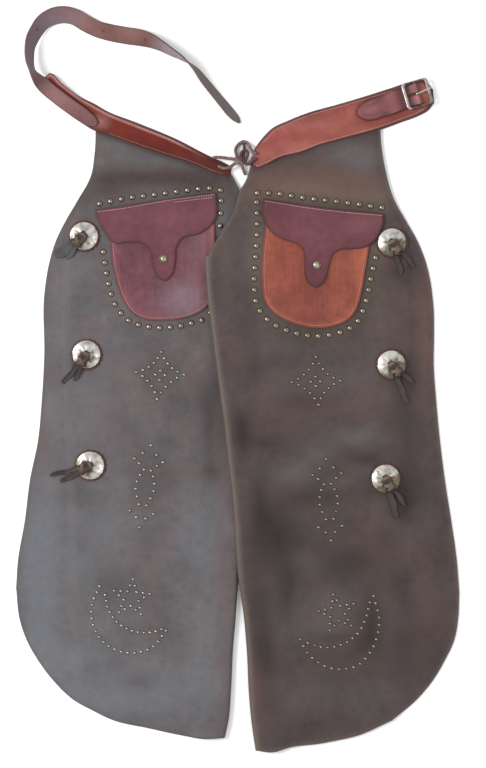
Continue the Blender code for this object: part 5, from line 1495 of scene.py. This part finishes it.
class CHAPS_OT_conchos(Operator):
    """The six conchos, their rosettes and the knotted thongs"""
    bl_idname = "chaps.conchos"
    bl_label = "Conchos"

    def execute(self, context):
        silver = metal("concho_silver", tint("silver"), 0.2, "#655f50", stained=0.9,
                       patch_size=0.009)
        rosette_look = hide("rosette_leather", tint("rosette"), gloss=0.55)
        thong_looks = {side: hide("thong_leather_" + side, tint("thong"),
                                  painted=(("tan", tan, 0.85), ("ash", ash, 0.8)))
                       for side, (tan, ash) in THONG_STAINS.items()}
        for name, side, (x, y), *ends in CONCHOS:
            seat = on_surface(leg_tree(side), x, y, mm("leg") / 2)[0].z
            angle = np.linspace(0, 2 * pi, ROSETTE_SCALLOPS * 8, endpoint=False)
            reach = ROSETTE_RADIUS - SCALLOP_DEPTH * (
                1 - np.abs(np.cos(angle * ROSETTE_SCALLOPS / 2)))
            bm = cut_shape(np.column_stack([x + reach * np.cos(angle),
                                            y + reach * np.sin(angle)]),
                           ROSETTE_RIMS, ROSETTE_CELL)
            bmesh.ops.translate(bm, vec=(0, 0, seat + GAP + mm("rosette") / 2), verts=bm.verts)
            leather_piece("rosette_" + name, bm, rosette_look, "rosette_leather",
                          mm("rosette"), 0.4, flat=(0.0512, 0.0512), area=0.002, held="laid",
                          rests_on=["leg_%s_leather" % side])

            aim = radians(sum(end[0] for end in ends) / len(ends))
            self.concho(name, side, (x, y, seat + 2 * GAP + mm("rosette")), aim, silver)
            self.tie(name, side, (x, y, seat), aim, ends, thong_looks[side])
        return {"FINISHED"}

    def concho(self, name, side, place, aim, silver):
        """One dome with nine petals and a beaded rim, tarnished and painted with shade where its
        thong hangs.
        """
        radius, rise = mm("concho") / 2, mm("concho_height")
        bottom = [(0, rise - 1.3), (radius * .3, rise - 1.45), (radius * .6, rise * .62 - 1.2),
                  (radius * .8, CONCHO_RIM), (radius - 1.2, 0), (radius, 0)]
        bm = turned(bottom + [(radius * t, CONCHO_RIM + (rise - CONCHO_RIM) * (1 - t ** 2.2))
                              for t in CONCHO_SHARES], CONCHO_STEPS)
        for v in bm.verts:
            r = hypot(v.co.x, v.co.y) / radius
            if v.co.z > CONCHO_RIM - 0.05:
                petals = cos(PETALS * np.arctan2(v.co.y, v.co.x)) * ease((r - 0.25) / 0.2)
                v.co.z += PETAL_RISE * float(petals * ease((PETAL_END - r) / 0.15))
                v.co.z -= BEAD_DEPTH * float(bell((r - BEAD_RING) / 0.035))
        x, y, _ = coordinates(bm).T / radius
        r = np.hypot(x, y)
        groove = ((0.5 - 0.5 * np.cos(PETALS * np.arctan2(y, x))) * ease((r - .3) / .2)
                  * ease((PETAL_END - r) / .1))
        knot = np.hypot(x * radius - 15 * cos(aim), y * radius - 15 * sin(aim))
        # tarnish in the petal and bead grooves, darker round the rim and the middle, and tarnish
        # with painted shade under the thong and on the side where it hangs
        hollow = (0.22 * groove + 0.5 * bell((r - BEAD_RING) / 0.03) + 0.8 * bell(knot / 13)
                  + 0.4 * ease((r - 0.93) / 0.06) + 0.25 * bell(r / 0.55)
                  + CONCHO_SHADE[side] * ease(0.45 + (x * cos(aim) + y * sin(aim)) / 1.6))
        bmesh.ops.translate(bm, vec=place, verts=bm.verts)
        piece("concho_%s_silver" % name, bm, [silver], "concho_metal", "concho_" + name,
              smooth_angle=50, hollow=hollow)

    def tie(self, name, side, seat, aim, ends, looks):
        """One knotted thong: a ring round the slot, two turns over it, and its two ends."""
        ahead, across = Vector((cos(aim), sin(aim), 0)), Vector((-sin(aim), cos(aim), 0))
        middle = Vector(seat) + Vector((0, 0, KNOT_RISE)) + ahead * KNOT_AHEAD
        paths = [([middle + (ahead * cos(a) + across * sin(a)) * KNOT_RING
                   + Vector((0, 0, 0.9 * cos(2 * a))) for a in np.linspace(0, 2 * pi, 41)], 1.0)]
        for lean, reach, out in KNOT_LOOPS:
            along = across * cos(lean) + ahead * sin(lean)
            paths.append(([middle + along * reach * cos(a) + ahead * (out + 2 * sin(a))
                           + Vector((0, 0, 5 * sin(a) - 2.2)) for a in np.linspace(0, pi, 17)],
                          0.7))
        bm = bmesh.new()
        for path, slim in paths:
            mesh = mesh_of(tube(path, *KNOT_THONG, ends=slim))
            bm.from_mesh(mesh)
            bpy.data.meshes.remove(mesh)
        half = np.array([0, 0, mm("thong") / 2])
        for number, (direction, run, width) in enumerate(ends):
            way = np.array([cos(radians(direction)), sin(radians(direction)), 0])
            side_way = np.array([-way[1], way[0], 0])
            rows = []
            for away, _, height in evenly([
                    (away, 0, height + number * 0.3)
                    for away, height in THONG_PROFILE + ((run - TAIL_TIP, 1.6), (run, 1.6))], 36):
                centre = np.array(seat) + way * away + side_way * 0.7 * sin(away / 5 + number)
                if away > ROSETTE_RADIUS:
                    centre[2] = on_surface(leg_tree(side), *centre[:2], mm("leg") / 2)[0].z
                centre[2] += height
                slim = (width / 2 * BROAD_TAIL.get(name, 1.1)
                        * (1 - 0.5 * float(ease((away - run + TAIL_TIP) / TAIL_TIP)))
                        * (1 + 0.12 * sin(away / 3.1 + 2 * number)))
                rows.append([centre + side_way * slim * t + np.array([0, 0, 0.4 * abs(t)])
                             for t in np.linspace(1, -1, 7)])
            rows = np.array(rows)
            before = len(bm.verts)
            lay_grid(bm, np.concatenate([rows + half, rows[:, ::-1] - half,
                                         rows[:, :1] + half], axis=1))
            bm.verts.ensure_lookup_table()
            bmesh.ops.remove_doubles(bm, verts=bm.verts[before:], dist=0.01)
        close(bm)
        area = sum(f.calc_area() for f in bm.faces) / 2 * MM * MM
        co = coordinates(bm)
        away = away_from(co, *middle.xy)
        # tan on the knot's top: wear, and painted highlight on its crests
        crest = ease((co[:, 2] - middle.z - 0.6) / 1.2)
        leather_piece("thong_" + name, bm, looks[:1], "thong_leather", 0, 0, 50,
                      {"tan": bell((away / 15) ** 2) * (0.15 + 0.75 * crest),
                       "ash": 0.7 * ease((away - 16) / 8) * TAIL_ASH.get(name, 0.8)},
                      flat=(0.01, area / 0.01), held="folded",
                      rests_on=["concho_%s_silver" % name, "leg_%s_leather" % side])


def rounded(length_, width, corner, steps):
    """A rounded rectangle that also has points along its long sides."""
    points = []
    for end, side, start in ((1, 1, 0), (-1, 1, 90), (-1, -1, 180), (1, -1, 270)):
        for angle in np.radians(start + 90 * np.arange(steps + 1) / steps):
            points.append((end * (length_ / 2 - corner) + corner * cos(angle),
                           side * (width / 2 - corner) + corner * sin(angle)))
        if end == side:
            points += [(end * (1 - k / 6) * (length_ / 2 - corner), side * width / 2)
                       for k in range(1, 12)]
    return points


class CHAPS_OT_buckle(Operator):
    """The buckle, its prong and the leather folded round its bar"""
    bl_idname = "chaps.buckle"
    bl_label = "Buckle"

    def execute(self, context):
        steel = metal("buckle_nickel", tint("steel"), 0.28, "#5e4c4a")
        chape = mm("chape")
        under_top = mm("belt") * 2 + 2 * GAP + chape
        bar_height = under_top + GAP + BAR_RADIUS
        place = (Matrix.Translation((*BUCKLE_PLACE, bar_height))
                 @ Matrix.Rotation(radians(BUCKLE_TURN), 4, "Z"))
        self.frame(place, steel)
        self.tab(place, chape, under_top - bar_height, bar_height)

        curl = BAR_RADIUS + GAP + PRONG_METAL / 2
        over_bar = BUCKLE_BOW + BUCKLE_METAL / 2 + GAP + PRONG_METAL / 2
        line = [(curl * cos(radians(a)), 0, curl * sin(radians(a))) for a in range(360, 89, -15)]
        line += [(4, 0, curl + 0.6), (10, 0, over_bar - 1), (16, 0, over_bar),
                 (20.5, 0, over_bar), (23, 0, over_bar - 0.5)]
        line = np.array(line, float)
        line[:, 1] = np.maximum(line[:, 0], 0) * PRONG_LEAN
        bm = tube(line, PRONG_WIDTH * 0.4, PRONG_METAL / 2, sides=14, ends=0.6)
        bmesh.ops.transform(bm, matrix=place, verts=bm.verts)
        piece("buckle_prong_nickel", bm, [steel], "buckle_metal", "buckle_prong",
              body="prong", smooth_angle=60)
        return {"FINISHED"}

    def frame(self, place, steel):
        """The bowed frame with its middle bar, darker along its arms and on its right-hand end bar
        as tarnish and painted shade.
        """
        bar_x = BUCKLE_LENGTH / 2 - BUCKLE_BAR
        outer = rounded(BUCKLE_LENGTH, BUCKLE_WIDTH, BUCKLE_CORNERS[0], 8)
        inner = rounded(BUCKLE_LENGTH - 2 * BUCKLE_BAR, BUCKLE_WIDTH - 2 * BUCKLE_ARM,
                        BUCKLE_CORNERS[1], 8)
        bm = bmesh.new()
        rings = []
        for points, rise in ((outer, -1), (outer, 1), (inner, 1), (inner, -1)):
            ring = [bm.verts.new((x, y, BUCKLE_BOW * min(1, abs(x) / bar_x) ** 2
                                  + rise * BUCKLE_METAL / 2)) for x, y in points]
            rings.append([bm.edges.new((ring[k - 1], ring[k])) for k in range(len(ring))])
        for a, b in zip(rings, rings[1:] + rings[:1]):
            bmesh.ops.bridge_loops(bm, edges=a + b)
        bmesh.ops.recalc_face_normals(bm, faces=bm.faces)
        sharp = [e for e in bm.edges if e.calc_face_angle(0) > radians(50)]
        bmesh.ops.bevel(bm, geom=sharp, offset=0.9, segments=3, profile=0.5, affect="EDGES",
                        material=-1)
        bmesh.ops.create_cone(bm, cap_ends=True, segments=24, radius1=BAR_RADIUS,
                              radius2=BAR_RADIUS, depth=BUCKLE_WIDTH - 2 * BUCKLE_ARM + 1,
                              matrix=Matrix.Rotation(pi / 2, 4, "X"))
        x, y, _ = coordinates(bm).T
        corner = bell(np.hypot(x - bar_x, y - BUCKLE_WIDTH / 2) / 8)
        bmesh.ops.transform(bm, matrix=place, verts=bm.verts)
        # painted shade on the right-hand end bar, all but one corner, and tarnish with painted
        # shade along the arms
        piece("buckle_frame_nickel", bm, [steel], "buckle_metal", "buckle_frame",
              smooth_angle=45, hollow=np.maximum(0.9 * ease((18 - np.abs(x)) / 4),
                                                 0.7 * (x > 0) * (1 - corner)))

    def tab(self, place, chape, under_top, bar_height):
        """The leather from the belt's top round the bar and back under it, with its slot."""
        belt_tree = surface_tree(belt_rows(BELT_RIGHT))
        rest = (mm("belt") + chape) / 2 + GAP + RIDGE_ROOM - bar_height
        top_z = under_top + GAP + chape / 2
        wrap = BAR_RADIUS + GAP + chape / 2
        edge = evenly([(x, 0, low, high) for x, low, high in CHAPE_TOP], 60)
        profile = [(x, top_z) for x in edge[:, 0]]
        profile += [(-11, top_z * 0.92 + 0.06), (-9, top_z * 0.7 + 0.3), (-7, 0.8), (-5.2, 1.5),
                    (-3.6, 2.1), (-2, 2.55)]
        profile += [(wrap * cos(a), wrap * sin(a)) for a in np.radians(np.arange(100, -81, -10))]
        profile += [(x, -wrap) for x in np.linspace(-2, CHAPE_RETURN, 16)]
        widths = [tuple(pair) for pair in edge[:, 2:]]
        widths += [(-CHAPE_HALF, CHAPE_HALF)] * (len(profile) - len(widths))
        share = np.array([0, .05, .12, .2, .28, .36, 0.5 - SLOT_HALF / (2 * CHAPE_HALF), 0.46, 0.5])
        share = np.concatenate([share, 1 - share[::-1][1:]])
        grid = []
        for (x, z), (low, high) in zip(profile, widths):
            across = low + (high - low) * share
            grid.append([(x, y, z if x >= CHAPE_LIES else max(
                on_surface(belt_tree, *by_buckle(x, y))[0].z + rest, z)) for y in across])
        bm = bmesh.new()
        lay_grid(bm, grid)
        bmesh.ops.delete(bm, context="FACES", geom=[
            f for f in bm.faces if abs(f.calc_center_median().y) < SLOT_HALF
            and f.calc_center_median().x > SLOT_START])
        bmesh.ops.recalc_face_normals(bm, faces=bm.faces)
        if sum(f.normal.z for f in bm.faces if f.calc_center_median().x < CHAPE_RETURN) < 0:
            bmesh.ops.reverse_faces(bm, faces=bm.faces)
        # deep includes painted shade by the bar, and rubbed a painted highlight over the bar
        looks = hide("buckle_leather", tint("chape"), gloss=0.42,
                     painted=(("deep", (0.04, 0.012, 0.012, 1), 0.9),
                              ("tan", (0.28, 0.105, 0.1, 1), 0.7),
                              ("rubbed", (0.4, 0.15, 0.15, 1), 0.75)))
        x, y, _ = coordinates(bm).T
        low, high = (np.interp(x, edge[:, 0], edge[:, column]) for column in (2, 3))
        rim = np.minimum(np.minimum(y - low, high - y), x - edge[0, 0])
        bmesh.ops.transform(bm, matrix=place, verts=bm.verts)
        leather_piece("buckle_chape", bm, looks, "belt_leather_right", chape, 0.4,
                      # deep: dark cut edge, and painted shade where the tab rises off the belt by
                      # the buckle; rubbed: painted highlight where it bulges over the bar, brighter
                      # on one half, a paler ring inside the tip and a worn spot
                      marks={"deep": bell(rim / 2.0) + 0.7 * bell((x - CHAPE_LIES) / 4),
                             "rubbed": (bell((x + 1) / 4) * (0.6 + 0.4 * (y < 0))
                                        + 0.3 * bell((rim - 3.5) / 1.6) * ease((-60 - x) / 15)
                                        + 0.5 * bell(np.hypot((x + 82) / 20, (y + 3) / 8))),
                             "tan": 0.8 * bell((x + 42) / 10)},
                      flat=(0.038, 0.150), held="folded",
                      rests_on=["belt_face_right_leather"])


OPERATORS = (CHAPS_OT_stage, CHAPS_OT_lace, CHAPS_OT_legs, CHAPS_OT_pockets, CHAPS_OT_studs,
             CHAPS_OT_belts, CHAPS_OT_strap, CHAPS_OT_conchos, CHAPS_OT_buckle)


class CHAPS_PT_panel(Panel):
    """Lists the pieces of the chaps"""
    bl_label = "Chaps"
    bl_space_type = "VIEW_3D"
    bl_region_type = "UI"
    bl_category = "Chaps"

    def draw(self, context):
        for operator in OPERATORS:
            self.layout.operator(operator.bl_idname)
        for group in (context.scene.chaps_sizes, context.scene.chaps_colours):
            for name in group.__annotations__:
                self.layout.prop(group, name)


CLASSES = (ChapsSizes, ChapsColours) + OPERATORS + (CHAPS_PT_panel,)


def register():
    for cls in CLASSES:
        bpy.utils.register_class(cls)
    bpy.types.Scene.chaps_sizes = PointerProperty(type=ChapsSizes)
    bpy.types.Scene.chaps_colours = PointerProperty(type=ChapsColours)


def unregister():
    del bpy.types.Scene.chaps_sizes
    del bpy.types.Scene.chaps_colours
    for cls in reversed(CLASSES):
        bpy.utils.unregister_class(cls)


def main():
    register()
    for operator in OPERATORS:
        group, name = operator.bl_idname.split(".")
        getattr(getattr(bpy.ops, group), name)()
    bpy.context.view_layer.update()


if __name__ == "__main__":
    main()
